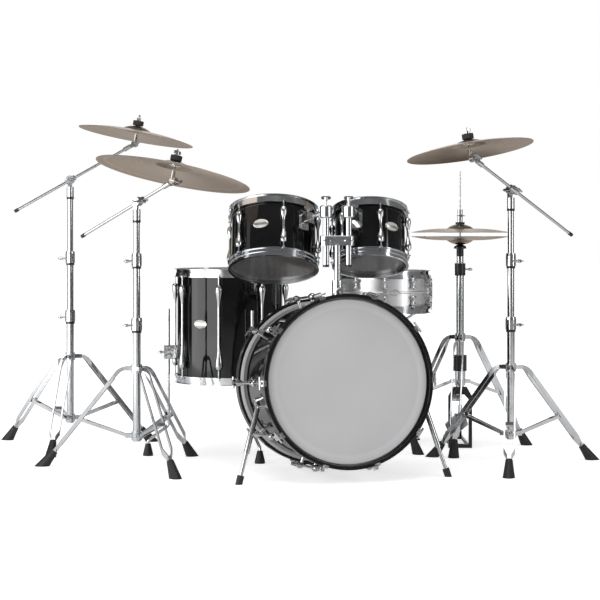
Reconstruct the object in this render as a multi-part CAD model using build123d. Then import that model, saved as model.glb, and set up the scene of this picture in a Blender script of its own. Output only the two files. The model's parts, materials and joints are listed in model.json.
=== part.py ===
"""Five-piece acoustic drum kit with hi-hats, two crash cymbals, a ride, their stands and the kick pedal.

Millimetres, +Z up. The audience looks along +Y with +X on its right; the player sits on the +Y side.
The origin is on the floor under the middle of the kit.
"""
from build123d import *
import math
import os

INCH = 25.4
BASE = (Align.CENTER, Align.CENTER, Align.MIN)

# Clearances: seats in one assembly, pieces that turn or slide, telescoping tubes
SEAT_GAP = 0.1
TURN_GAP = 0.3
TUBE_FIT = 0.25

# Drum heads and flanged steel hoops
SHELL_SLACK = 2.0
EDGE_CROWN = 2.0
HEAD_FILM = 0.8
HEAD_FIT = 0.6
FLESH_WIDTH = 4.5
FLESH_HEIGHT = 7.0
COLLAR_DROP = 12.0
HOOP_STEEL = 2.3
HOOP_FIT = 0.4
HOOP_RISE = 13.0
HOOP_SKIRT = 12.0
HOOP_LIP = 7.0
HOOP_FLANGE = 5.0
EAR_RADIUS = 8.0
EAR_REACH = 6.0

# Tension rods and hourglass lugs
ROD_RADIUS = 2.75
ROD_CLEARANCE = 0.3
ROD_ENGAGE = 22.0
ROD_WASHER = 5.5
ROD_HEAD = 6.4
ROD_HEAD_HEIGHT = 8.0
LUG_END = 6.2
LUG_BULB = 10.8
LUG_BULB_SHARE = 0.4
LUG_TIP_SLOPE = (0.6, 0, -0.4)
LUG_WAIST = 4.6
LUG_POST = 5.5

# Wing screws
WING_STEM = 3.5
WING_HUB = 6.0
WING_SPAN = 22.0
WING_HEIGHT = 12.0
WING_THICK = 4.0

# Bass drum: 22 x 16 inch, wood hoops, raised at the front
BASS_DIAMETER = 22 * INCH
BASS_DEPTH = 16 * INCH
BASS_WALL = 8.0
BASS_X = 164.0
BASS_Y = -384.0
BASS_YAW = 14.5
BASS_PITCH = 4.4
BASS_REAR_LIFT = 11.0
BASS_FLESH_WIDTH = 10.0
BASS_COLLAR_DROP = 25.0
WOOD_HOOP_SEAT = 3.0
WOOD_HOOP_THICK = 13.0
WOOD_HOOP_WIDTH = 38.0
BASS_LUG_COUNT = 10
BASS_LUG_LENGTH = 250.0
BASS_LUG_BULB = 80.0
BASS_KEY_RODS = (7, 8)
CLAW_WIDTH = 20.0
CLAW_STEEL = 4.0
CLAW_BITE = 7.0
CLAW_LENGTH = 34.0
CLAW_ROD_OFFSET = 11.0
CLAW_EAR = 8.0
T_HANDLE_SPAN = 42.0
T_HANDLE_RADIUS = 4.0
T_HANDLE_STAND = 12.0

# Bass drum spurs
SPUR_ANGLE = -13.0
SPUR_FORWARD = 112.0
SPUR_DISC = 23.0
SPUR_DISC_THICK = 12.0
SPUR_HEAD = 20.0
SPUR_HEAD_THICK = 21.0
SPUR_TUBE = 9.5
SPUR_ROD = 6.3
SPUR_TUBE_SHARE = 0.62
SPUR_FOOT_OUT = 372.0
SPUR_FOOT_FORWARD = 165.0
SPUR_TIP = 12.0
SPUR_TIP_LENGTH = 30.0
SPUR_PIN = 5.0
SPUR_CAP = 6.7

# Tom mount on the bass drum: base, post, holder and two arm tubes
MOUNT_FORWARD = 88.0
MOUNT_LENGTH = 92.0
MOUNT_WIDTH = 70.0
MOUNT_PLATE = 14.0
MOUNT_SOCKET = 19.0
MOUNT_SOCKET_HEIGHT = 72.0
MOUNT_SCREW_SHARE = 0.6
POST_RADIUS = 11.0
POST_WALL = 2.0
POST_INSIDE = 60.0
HOLDER_RISE = 210.0
HOLDER_HEIGHT = 34.0
HOLDER_SPACING = 79.0
HOLDER_WIDTH = 42.0
ARM_TUBE = 11.0
ARM_WALL = 2.0
ARM_DROP = 84.0
ARM_CAP = 8.0
BALL_RISE = 100.0
BALL_RADIUS = 13.0
BALL_MOUTH = 12.2
BALL_CLAMP_RADIUS = 21.0
BALL_CLAMP_HALF = 22.0

# Tom brackets: pad on the shell, receiver and hexagonal arm
PAD_WIDTH = 44.0
PAD_HEIGHT = 70.0
PAD_THICK = 8.0
RECEIVER_WIDTH = 32.0
RECEIVER_HEIGHT = 40.0
RECEIVER_REACH = 44.0
HEX_RADIUS = 6.3
HEX_INSERT = 26.0

# Hanging toms: 12 x 8 and 10 x 7.5 inch
TOM_WALL = 6.0
LARGE_TOM_DIAMETER = 12 * INCH
LARGE_TOM_DEPTH = 8 * INCH
LARGE_TOM_TILT = 20.5
LARGE_TOM_REACH = 121.0
LARGE_TOM_BEARING = -47.3
LARGE_TOM_ARM_RISE = 31.0
LARGE_TOM_LUG_COUNT = 6
LARGE_TOM_LUG_PHASE = -77.0
LARGE_TOM_LUG_LENGTH = 134.0
SMALL_TOM_DIAMETER = 10 * INCH
SMALL_TOM_DEPTH = 7.5 * INCH
SMALL_TOM_TILT = 19.5
SMALL_TOM_REACH = 82.0
SMALL_TOM_BEARING = -112.8
SMALL_TOM_ARM_RISE = 30.0
SMALL_TOM_LUG_COUNT = 6
SMALL_TOM_LUG_PHASE = -76.4
SMALL_TOM_LUG_LENGTH = 122.0
TOM_LUG_BULB = 56.0

# Floor tom: 16 x 16 inch on three bent legs
FLOOR_TOM_DIAMETER = 16 * INCH
FLOOR_TOM_DEPTH = 16 * INCH
FLOOR_TOM_WALL = 7.0
FLOOR_TOM_X = -217.0
FLOOR_TOM_Y = 185.0
FLOOR_TOM_LIFT = 275.0
FLOOR_TOM_LUG_COUNT = 8
FLOOR_TOM_LUG_PHASE = -99.0
FLOOR_TOM_LUG_LENGTH = 316.0
FLOOR_TOM_LUG_BULB = 84.0
FLOOR_LEG_ANGLES = (-67.5, 58.5, 193.5)
FLOOR_LEG_RADIUS = 6.0
FLOOR_LEG_STANDOFF = 37.0
FLOOR_LEG_TOP = 556.0
FLOOR_LEG_KNEE = 112.0
FLOOR_LEG_ANKLE = 58.0
FLOOR_LEG_SPREAD = 78.0
FLOOR_LEG_FOOT_BEND = 16.8
LEG_BRACKET_HEIGHT = 52.0
LEG_BRACKET_WIDTH = 30.0
LEG_BRACKET_WALL = 10.0
LEG_BRACKET_DROP = 100.0
FLOOR_FOOT_TOP = 10.0
FLOOR_FOOT_BASE = 19.0
FLOOR_FOOT_HEIGHT = 46.0
FLOOR_FOOT_SOLE = 8.0

# Snare drum: 14 x 5.5 inch beaded metal shell
SNARE_DIAMETER = 14 * INCH
SNARE_DEPTH = 5.5 * INCH
SNARE_WALL = 1.6
SNARE_FLANGE = 8.0
SNARE_BEAD = 4.0
SNARE_X = 378.0
SNARE_Y = 382.0
SNARE_SEAT = 530.0
SNARE_LUG_COUNT = 10
SNARE_LUG_PHASE = 18.0
SNARE_LUG_LENGTH = 40.0
SNARE_LUG_BULB = 19.0
SNARE_LUG_HEIGHT = 32.0
SNARE_ROD_ENGAGE = 14.0
STRAINER_WIDTH = 34.0
STRAINER_HEIGHT = 66.0
STRAINER_DEPTH = 18.0
LEVER_LENGTH = 52.0
LEVER_WIDTH = 14.0
LEVER_THICK = 5.0
LEVER_PIN = 3.0
GATE_WIDTH = 44.0
WIRE_COUNT = 20
WIRE_PITCH = 1.9
WIRE_RADIUS = 0.7
WIRE_LENGTH = 280.0
WIRE_PLATE = 14.0

# Snare stand
SNARE_TUBE = 13.0
SNARE_COLLAR = 300.0
SNARE_BRACE = 96.0
SNARE_FOOT_RADIUS = 262.0
SNARE_LEG_PHASE = -62.0
SNARE_TUBE_TOP = 380.0
BASKET_HUB = 20.0
BASKET_HUB_DROP = 62.0
BASKET_HUB_HEIGHT = 34.0
BASKET_ARM = 5.0
BASKET_ARM_PHASE = 24.0
BASKET_HOOK = 26.0
BASKET_GRIP = 8.0

# Double-braced tripods
COLLAR_WALL = 5.0
COLLAR_HEIGHT = 30.0
PIVOT_OUT = 14.0
LEG_TAIL = 6.0
LEG_NECK_LENGTH = 12.0
LEG_SHOULDER = 24.0
LEG_SHOULDER_BEND = 40.0
LEG_BAND = 14.0
LEG_STRIP = 4.0
LEG_SPREAD = 20.0
LEG_NECK = 7.0
LEG_TOE = 6.5
BRACE_BAND = 11.0
BRACE_STRIP = 3.0
BRACE_SPREAD = 13.0
BRACE_SHARE = 0.52
PIVOT_PIN = 3.0
EAR_PLATE = 3.5
RUBBER_TOP = 12.5
RUBBER_BASE = 21.5
RUBBER_LENGTH = 70.0
RUBBER_INSERT = 36.0

# Cymbal stands: telescoping tubes, clamps, boom and tilter
STAND_TUBE = 14.3
TUBE_WALL = 1.3
TUBE_LAP = 150.0
STAND_TUBE_BOTTOM = 92.0
STAND_BRACE = 112.0
STAND_COLLAR = 355.0
STAND_FOOT_RADIUS = 342.0
LOWER_CLAMP = 528.0
UPPER_CLAMP = 760.0
CLAMP_WALL = 5.5
CLAMP_HEIGHT = 36.0
CLAMP_LIP = 10.0
RING_HEIGHT = 9.0
RING_WALL = 3.0
BOOM_RADIUS = 5.5
BOOM_DISC = 17.0
BOOM_DISC_THICK = 10.0
BOOM_SLEEVE = 11.0
BOOM_SLEEVE_LENGTH = 40.0
BOOM_NECK = 34.0
BOOM_TAIL_CAP = 12.0
TILTER_FERRULE = 9.0
TILTER_FERRULE_LENGTH = 30.0
TILTER_DISC = 14.0
TILTER_DISC_THICK = 10.0
TILTER_OFFSET = 20.0
TILTER_POST = 8.0
TILTER_POST_OFFSET = 9.0
TILTER_POST_LENGTH = 34.0
CYMBAL_RISE = 68.0
CYMBAL_ROD = 4.0
CYMBAL_SLEEVE = 5.6
SEAT_WASHER = 15.0
SEAT_WASHER_THICK = 3.0
FELT_RADIUS = 21.0
LOWER_FELT = 12.0
UPPER_FELT = 20.0
FELT_NOSE = 8.0
FELT_ROCK_GAP = 1.2
FELT_TOP_GAP = 0.9
FELT_BEVEL = 7.0

# Cymbals
CYMBAL_THICK = 1.3
CYMBAL_HOLE = 6.3
CRASH_DIAMETER = 18 * INCH
RIDE_DIAMETER = 22 * INCH
CRASH_BELL = 62.0
RIDE_BELL = 72.0
BELL_HEIGHT = 20.0
BELL_CROWN_SHARE = 0.24
CRASH_BOW = 22.0
RIDE_BOW = 28.0
BOW_BULGE = 4.0

# Stand places: x, y, first leg, clamp height, boom bearing, boom rise, front and rear reach, cymbal lean
LEFT_CRASH_X = -858.0
LEFT_CRASH_Y = 408.0
LEFT_CRASH_LEG = -95.0
LEFT_CRASH_WING = 195.0
LEFT_CRASH_CLAMP = 1053.0
LEFT_CRASH_BEARING = 0.0
LEFT_CRASH_RISE = 29.4
LEFT_CRASH_FRONT = 272.0
LEFT_CRASH_REAR = 250.0
LEFT_CRASH_LEAN = (10.0, 3.0)
RIDE_X = -539.0
RIDE_Y = -193.0
RIDE_LEG = -62.0
RIDE_WING = 195.0
RIDE_CLAMP = 958.0
RIDE_BEARING = -35.0
RIDE_RISE = 24.5
RIDE_FRONT = 154.0
RIDE_REAR = 302.0
RIDE_LEAN = (10.8, 7.4)
RIGHT_CRASH_X = 820.0
RIGHT_CRASH_Y = -134.0
RIGHT_CRASH_LEG = -98.0
RIGHT_CRASH_WING = -40.0
RIGHT_CRASH_CLAMP = 1001.0
RIGHT_CRASH_BEARING = -145.0
RIGHT_CRASH_RISE = 29.8
RIGHT_CRASH_FRONT = 203.0
RIGHT_CRASH_REAR = 328.0
RIGHT_CRASH_LEAN = (-8.5, 6.2)

# Hi-hat stand, cymbals and pedal
HIHAT_X = 678.0
HIHAT_Y = 337.0
HIHAT_LEG = -100.0
HIHAT_FOOT_RADIUS = 290.0
HIHAT_TUBE = 15.0
HIHAT_COLLAR = 435.0
HIHAT_BRACE = 262.0
HIHAT_CLAMP = 700.0
HIHAT_CLAMP_HEIGHT = 48.0
HIHAT_CLAMP_WALL = 6.0
HIHAT_SEAT = 797.0
HIHAT_SEAT_RADIUS = 24.0
HIHAT_SEAT_HEIGHT = 16.0
HIHAT_NECK = 14.0
HIHAT_NECK_LENGTH = 30.0
HIHAT_DIAMETER = 15 * INCH
HIHAT_BELL = 52.0
HIHAT_BELL_HEIGHT = 17.0
HIHAT_BOW = 14.0
HIHAT_OPENING = 15.0
HIHAT_ROD = 3.2
HIHAT_ROD_TOP = 1085.0
HIHAT_HOUSING = 26.0
HIHAT_HOUSING_BOTTOM = 303.0
HIHAT_HOUSING_TOP = 365.0
HIHAT_SPRING_CASE = 21.0
CLUTCH_RADIUS = 10.0
CLUTCH_HEIGHT = 50.0
CLUTCH_FELT = 18.0
CLUTCH_LOW_FELT = 12.6
CLUTCH_FELT_HEIGHT = 8.0
PEDAL_FRAME_WIDTH = 92.0
PEDAL_FRAME_TOP = 240.0
PEDAL_FRAME_POST = 12.0
PEDAL_FRAME_DEPTH = 26.0
PEDAL_SHOULDER = 36.0
PEDAL_SILL = 14.0
PEDAL_LIFT = 2.0
PEDAL_LENGTH = 290.0
PEDAL_HEEL_Z = 26.0
PEDAL_RISE = 19.0
PEDAL_RAIL = 9.0
HEEL_LENGTH = 58.0
HEEL_PIN = 4.0
BOARD_WIDTH = 92.0
BOARD_HEEL = 78.0
BOARD_TOE = 46.0
BOARD_THICK = 7.0
BOARD_WIDEST = 0.45
BOARD_TOE_START = 0.9
BOARD_FIRST_GROOVE = 0.3
BOARD_GROOVE_STEP = 0.1
BOARD_GROOVES = 5
STRAP_WIDTH = 16.0
STRAP_THICK = 3.0
STRAP_SLOT = 16.0
STRAP_REACH = 40.0
STRAP_PIN = 3.0
STRAP_GAP = 0.5

# Kick pedal behind the bass drum
KICK_FRAME_WIDTH = 104.0
KICK_POST = 14.0
KICK_POST_DEPTH = 24.0
KICK_SETBACK = 34.0
KICK_AXLE_Z = 205.0
KICK_AXLE = 6.0
KICK_CAM = 26.0
KICK_CAM_WIDTH = 20.0
KICK_LENGTH = 286.0
KICK_RISE = 20.0
KICK_SWING = 44.0
KICK_GAP = 2.0
KICK_SHAFT = 4.5
KICK_SHAFT_LENGTH = 165.0
KICK_BEATER = 25.0
KICK_BEATER_LENGTH = 46.0
KICK_CLAMP = 40.0
KICK_JAW_HEIGHT = 14.0


def sind(angle):
    """Sine of an angle in degrees."""
    return math.sin(math.radians(angle))


def cosd(angle):
    """Cosine of an angle in degrees."""
    return math.cos(math.radians(angle))


def tand(angle):
    """Tangent of an angle in degrees."""
    return math.tan(math.radians(angle))


def polar(radius, angle, height=0.0):
    """Point at a radius and bearing about Z."""
    return Vector(radius * cosd(angle), radius * sind(angle), height)


def evenly(count, phase):
    """Bearings of a ring of like pieces."""
    return [phase + 360 / count * index for index in range(count)]


def around(piece, angles):
    """Copies of a piece turned about Z."""
    return [Rot(0, 0, angle) * piece for angle in angles]


def turned(outline):
    """Solid of revolution about Z through (radius, height) points."""
    points = [(radius, 0, height) for radius, height in outline]
    return revolve(make_face(Polyline(*points, close=True)), Axis.Z)


def round_bar(start, end, radius):
    """Round bar between two points."""
    run = Vector(*end) - Vector(*start)
    return Solid.make_cylinder(radius, run.length, Plane(origin=start, z_dir=run))


def pipe(radius, wall, bottom, top):
    """Upright tube on the Z axis."""
    inner = radius - wall
    return turned([(inner, bottom), (radius, bottom), (radius, top), (inner, top)])


def disc(radius, bottom, top):
    """Upright solid cylinder on the Z axis."""
    return Pos(0, 0, bottom) * Cylinder(radius, top - bottom, align=BASE)


def wing_screw(stem):
    """Wing screw standing on Z = 0 along +Z."""
    shank = Cylinder(WING_STEM, stem, align=BASE)
    hub = Pos(0, 0, stem - WING_HEIGHT / 2) * Cylinder(WING_HUB, WING_HEIGHT, align=BASE)
    wings = extrude(Plane.XZ * SlotCenterToCenter(WING_SPAN, WING_HEIGHT), WING_THICK / 2, both=True)
    return shank + hub + Pos(0, 0, stem + WING_HEIGHT / 3) * wings


def shell_radius(diameter):
    """Outer radius of a shell that takes heads of a nominal diameter."""
    return diameter / 2 - SHELL_SLACK


def rod_circle(radius):
    """Radius of the circle on which a flanged hoop's tension rods stand."""
    return radius + HEAD_FIT + FLESH_WIDTH + HOOP_FIT + HOOP_STEEL + EAR_REACH


def hoop_foot():
    """Height of a flanged hoop's ears below the bearing edge."""
    return FLESH_HEIGHT - COLLAR_DROP - HOOP_SKIRT


def wood_shell(radius, depth, wall):
    """Ply shell with bearing edges cut at 45 degrees."""
    half = depth / 2
    bevel = wall - EDGE_CROWN
    inner = radius - wall
    crown = radius - EDGE_CROWN
    return turned(
        [
            (inner, bevel - half),
            (crown, -half),
            (radius, -half),
            (radius, half),
            (crown, half),
            (inner, half - bevel),
        ]
    )


def drum_head(radius, flesh_width, drop):
    """Head with its collar and flesh hoop; Z = 0 is the bearing edge."""
    collar = radius + HEAD_FIT
    flesh = collar + flesh_width
    flesh_top = FLESH_HEIGHT - drop
    return turned(
        [
            (0, 0),
            (collar, 0),
            (collar, -drop),
            (flesh, -drop),
            (flesh, flesh_top),
            (collar + HEAD_FILM, flesh_top),
            (collar + HEAD_FILM, 0),
            (collar, HEAD_FILM),
            (0, HEAD_FILM),
        ]
    )


def flanged_hoop(radius, angles):
    """Pressed steel hoop with a rolled lip, a step on the flesh hoop and pierced ears."""
    upper = radius + HEAD_FIT + HEAD_FILM + HOOP_FIT
    lower = radius + HEAD_FIT + FLESH_WIDTH + HOOP_FIT
    seat = FLESH_HEIGHT - COLLAR_DROP
    foot = hoop_foot()
    ring = turned(
        [
            (upper, seat),
            (upper, HOOP_RISE),
            (upper + HOOP_STEEL + HOOP_LIP, HOOP_RISE),
            (upper + HOOP_STEEL + HOOP_LIP, HOOP_RISE - HOOP_STEEL),
            (upper + HOOP_STEEL, HOOP_RISE - HOOP_STEEL),
            (upper + HOOP_STEEL, seat + HOOP_STEEL),
            (lower + HOOP_STEEL, seat + HOOP_STEEL),
            (lower + HOOP_STEEL, foot + HOOP_STEEL),
            (lower + HOOP_STEEL + HOOP_FLANGE, foot + HOOP_STEEL),
            (lower + HOOP_STEEL + HOOP_FLANGE, foot),
            (lower, foot),
            (lower, seat),
        ]
    )
    centre = Pos(rod_circle(radius), 0, foot)
    ear = centre * Cylinder(EAR_RADIUS, HOOP_STEEL, align=BASE)
    hole = centre * Cylinder(ROD_RADIUS + ROD_CLEARANCE, HOOP_STEEL, align=BASE)
    return ring + around(ear, angles) - around(hole, angles)


def lug(length, bulb, axis, radius, post_heights, engage):
    """Cast hourglass lug at bearing 0, on posts that seat on the shell, bored for its rods."""
    half = length / 2
    neck = half - bulb
    swell = Spline(
        (LUG_END, 0, half),
        (LUG_BULB, 0, half - LUG_BULB_SHARE * bulb),
        (LUG_WAIST, 0, neck),
        tangents=(LUG_TIP_SLOPE, (0, 0, -1)),
    )
    lines = [swell, Line((LUG_END, 0, half), (0, 0, half)), Line((0, 0, half), (0, 0, 0))]
    if neck > 0:
        lines.append(Line((LUG_WAIST, 0, 0), (LUG_WAIST, 0, neck)))
    lines.append(Line((0, 0, 0), (LUG_WAIST, 0, 0)))
    upper = revolve(make_face(lines), Axis.Z)
    body = Pos(axis, 0, 0) * (upper + mirror(upper, about=Plane.XY))
    for height in post_heights:
        body += round_bar((radius - LUG_POST, 0, height), (axis, 0, height), LUG_POST)
    bore = Pos(axis, 0, half - engage) * Cylinder(ROD_RADIUS + ROD_CLEARANCE, engage, align=BASE)
    body -= Cylinder(radius + SEAT_GAP, 2 * length)
    return body - bore - mirror(bore, about=Plane.XY)


def tension_rod(axis, bottom, ear_top):
    """Threaded rod at bearing 0 with its washer and square head on the hoop's ear."""
    rod = disc(ROD_RADIUS, bottom, ear_top + HOOP_STEEL)
    washer = disc(ROD_WASHER, ear_top, ear_top + HOOP_STEEL)
    head = Pos(0, 0, ear_top + HOOP_STEEL) * Box(ROD_HEAD, ROD_HEAD, ROD_HEAD_HEIGHT, align=BASE)
    return Pos(axis, 0, 0) * (rod + washer + head)


def both_ends(piece):
    """A piece at the top of a drum and its mirror image at the bottom."""
    return [piece, mirror(piece, about=Plane.XY)]


def drum(diameter, depth, wall, lug_angles, lug_length, lug_bulb):
    """Wooden drum about Z with its centre at the origin: shell, hoops, heads and lugs with rods."""
    radius = shell_radius(diameter)
    half = depth / 2
    axis = rod_circle(radius)
    post = lug_length / 2 - LUG_BULB_SHARE * lug_bulb
    one_lug = lug(lug_length, lug_bulb, axis, radius, (post, -post), ROD_ENGAGE)
    rod = tension_rod(axis, lug_length / 2 - ROD_ENGAGE + SEAT_GAP, half + hoop_foot() + HOOP_STEEL)
    tension = [one_lug] + both_ends(rod)
    return {
        "shell": [wood_shell(radius, depth, wall)],
        "hoops": both_ends(Pos(0, 0, half) * flanged_hoop(radius, lug_angles)),
        "heads": both_ends(Pos(0, 0, half) * drum_head(radius, FLESH_WIDTH, COLLAR_DROP)),
        "lugs": [copy for piece in tension for copy in around(piece, lug_angles)],
    }


def bass_hoop_inner():
    """Inner radius of the wood hoops, which sit on the flesh hoops."""
    return shell_radius(BASS_DIAMETER) + HEAD_FIT + BASS_FLESH_WIDTH - WOOD_HOOP_SEAT


def bass_hoop_outer():
    """Outer radius of the wood hoops."""
    return bass_hoop_inner() + WOOD_HOOP_THICK


def bass_hoop_front():
    """Distance from the bass drum's middle to a hoop's open edge."""
    return BASS_DEPTH / 2 + FLESH_HEIGHT - BASS_COLLAR_DROP + WOOD_HOOP_WIDTH


def bass_frame():
    """Bass drum's own frame: Z out of the front head, Y up."""
    lift = BASS_REAR_LIFT + bass_hoop_outer() * cosd(BASS_PITCH) + bass_hoop_front() * sind(BASS_PITCH)
    front = (sind(BASS_YAW) * cosd(BASS_PITCH), -cosd(BASS_YAW) * cosd(BASS_PITCH), sind(BASS_PITCH))
    across = (cosd(BASS_YAW), sind(BASS_YAW), 0)
    return Plane(origin=(BASS_X, BASS_Y, lift), x_dir=across, z_dir=front)


def mount_foot():
    """Point on the top of the bass drum under the tom post."""
    return bass_frame().from_local_coords((0, shell_radius(BASS_DIAMETER), MOUNT_FORWARD))


def holder_height():
    """Height of the middle of the tom holder."""
    return mount_foot().Z + HOLDER_RISE


def arm_axis(side):
    """Point on the floor under a tom arm tube; side is -1 for the large tom, 1 for the small one."""
    foot = mount_foot()
    return Vector(foot.X + side * HOLDER_SPACING / 2, foot.Y, 0)


def arm_ball(side):
    """Centre of the ball on top of a tom arm tube."""
    axis = arm_axis(side)
    return Vector(axis.X, axis.Y, holder_height() + BALL_RISE)


def tom_frame(side, diameter, tilt, reach, bearing, rise):
    """Frame of a hanging tom, placed so that its bracket's arm ends in the arm tube's ball."""
    up = (0, sind(tilt), cosd(tilt))
    facing = Plane(origin=(0, 0, 0), x_dir=(1, 0, 0), z_dir=up)
    offset = facing.from_local_coords(polar(shell_radius(diameter) + reach, bearing, rise))
    return Plane(origin=arm_ball(side) - offset, x_dir=(1, 0, 0), z_dir=up)


def large_tom_frame():
    """Frame of the 12 inch tom."""
    return tom_frame(
        -1, LARGE_TOM_DIAMETER, LARGE_TOM_TILT, LARGE_TOM_REACH, LARGE_TOM_BEARING, LARGE_TOM_ARM_RISE
    )


def small_tom_frame():
    """Frame of the 10 inch tom."""
    return tom_frame(
        1, SMALL_TOM_DIAMETER, SMALL_TOM_TILT, SMALL_TOM_REACH, SMALL_TOM_BEARING, SMALL_TOM_ARM_RISE
    )


def claw(outer, front, axis):
    """Cast claw at bearing 0 that hooks over a wood hoop and carries a rod in its ear."""
    face = front + SEAT_GAP
    back = outer + SEAT_GAP
    tail = front - CLAW_LENGTH
    outline = Polyline(
        (outer - CLAW_BITE, 0, face),
        (outer - CLAW_BITE, 0, face + CLAW_STEEL),
        (back + CLAW_STEEL / 2, 0, face + CLAW_STEEL),
        (back + CLAW_STEEL, 0, face),
        (back + CLAW_STEEL, 0, tail + 2 * CLAW_STEEL),
        (axis + CLAW_EAR, 0, tail + CLAW_STEEL),
        (axis + CLAW_EAR, 0, tail),
        (back, 0, tail),
        (back, 0, face),
        close=True,
    )
    body = extrude(make_face(outline), CLAW_WIDTH / 2, both=True)
    return body - Pos(axis, 0, tail) * Cylinder(ROD_RADIUS + ROD_CLEARANCE, 4 * CLAW_STEEL)


def claw_rod(axis, bottom, ear_top, handled):
    """Bass drum rod at bearing 0, with a T handle or a square key head."""
    top = ear_top + T_HANDLE_STAND
    rod = Pos(axis, 0, 0) * disc(ROD_RADIUS, bottom, top)
    washer = Pos(axis, 0, 0) * disc(ROD_WASHER, ear_top, ear_top + HOOP_STEEL)
    if handled:
        half = T_HANDLE_SPAN / 2
        head = round_bar((axis, -half, top), (axis, half, top), T_HANDLE_RADIUS)
    else:
        head = Pos(axis, 0, top - ROD_HEAD_HEIGHT) * Box(ROD_HEAD, ROD_HEAD, ROD_HEAD_HEIGHT, align=BASE)
    return rod + washer + head


def bass_drum():
    """Bass drum with its hoops, heads, lugs, claws and rods."""
    frame = bass_frame()
    radius = shell_radius(BASS_DIAMETER)
    half = BASS_DEPTH / 2
    outer = bass_hoop_outer()
    front = bass_hoop_front()
    axis = outer + CLAW_ROD_OFFSET
    angles = evenly(BASS_LUG_COUNT, 0)
    hoop = turned(
        [
            (bass_hoop_inner(), front - WOOD_HOOP_WIDTH),
            (outer, front - WOOD_HOOP_WIDTH),
            (outer, front),
            (bass_hoop_inner(), front),
        ]
    )
    hoop = fillet(hoop.edges().filter_by(GeomType.CIRCLE), WOOD_HOOP_THICK / 6)
    post = BASS_LUG_LENGTH / 2 - LUG_BULB_SHARE * BASS_LUG_BULB
    one_lug = lug(BASS_LUG_LENGTH, BASS_LUG_BULB, axis, radius, (post, -post), ROD_ENGAGE)
    one_claw = claw(outer, front, axis)
    bottom = BASS_LUG_LENGTH / 2 - ROD_ENGAGE + SEAT_GAP
    ear_top = front - CLAW_LENGTH + 2 * CLAW_STEEL
    t_rod = claw_rod(axis, bottom, ear_top, True)
    key_rod = claw_rod(axis, bottom, ear_top, False)
    rods = [key_rod if index in BASS_KEY_RODS else t_rod for index in range(BASS_LUG_COUNT)]
    placed_rods = [Rot(0, 0, angle) * rod for angle, rod in zip(angles, rods)]
    claws = [end for piece in around(one_claw, angles) + placed_rods for end in both_ends(piece)]
    foot = mount_foot()
    post_hole = Pos(foot.X, foot.Y, foot.Z - POST_INSIDE) * Cylinder(
        POST_RADIUS + TURN_GAP, 2 * POST_INSIDE, align=BASE
    )
    shell = frame * wood_shell(radius, BASS_DEPTH, BASS_WALL) - post_hole
    head = Pos(0, 0, half) * drum_head(radius, BASS_FLESH_WIDTH, BASS_COLLAR_DROP)
    return {
        "bass_drum_shell": [shell],
        "bass_drum_hoops": [frame * ring for ring in both_ends(hoop)],
        "bass_drum_heads": [frame * skin for skin in both_ends(head)],
        "bass_drum_lugs": [frame * copy for copy in around(one_lug, angles)],
        "bass_drum_claws": [frame * piece for piece in claws],
    }


def spur_frame(side):
    """Frame on the bass shell at a spur bracket: Z out of the shell, X towards the front head."""
    angle = SPUR_ANGLE if side > 0 else 180 - SPUR_ANGLE
    frame = bass_frame()
    radial = frame.from_local_coords(polar(1, angle)) - frame.origin
    seat = frame.from_local_coords(polar(shell_radius(BASS_DIAMETER), angle, SPUR_FORWARD))
    return Plane(origin=seat, x_dir=frame.z_dir, z_dir=radial)


def spur_toe(side):
    """Point on the floor under a spur's rubber tip."""
    across = side * SPUR_FOOT_OUT
    x = BASS_X + across * cosd(BASS_YAW) + SPUR_FOOT_FORWARD * sind(BASS_YAW)
    y = BASS_Y + across * sind(BASS_YAW) - SPUR_FOOT_FORWARD * cosd(BASS_YAW)
    return Vector(x, y, 0)


def spur(side):
    """Folding spur: pivot head, tube, rod and rubber tip cut flat on the floor."""
    frame = spur_frame(side)
    level = SPUR_DISC_THICK + TURN_GAP
    head = Pos(0, 0, level) * Cylinder(SPUR_HEAD, SPUR_HEAD_THICK, align=BASE)
    head -= Pos(0, 0, level) * Cylinder(SPUR_PIN + TURN_GAP, SPUR_HEAD_THICK, align=BASE)
    start = frame.from_local_coords((0, 0, level + SPUR_HEAD_THICK / 2))
    toe = spur_toe(side)
    run = toe - start
    way = run.normalized()
    joint = start + run * SPUR_TUBE_SHARE
    tip_start = toe - way * SPUR_TIP_LENGTH
    tube = round_bar(start + way * (SPUR_HEAD - SPUR_PIN), joint, SPUR_TUBE)
    rod = round_bar(joint, toe - way * SPUR_TIP_LENGTH / 2, SPUR_ROD)
    body = frame * head + tube + rod
    tip = round_bar(tip_start, toe + way * SPUR_TIP_LENGTH, SPUR_TIP)
    tip = split(tip - rod, bisect_by=Plane.XY, keep=Keep.TOP)
    return [body, tip]


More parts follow.
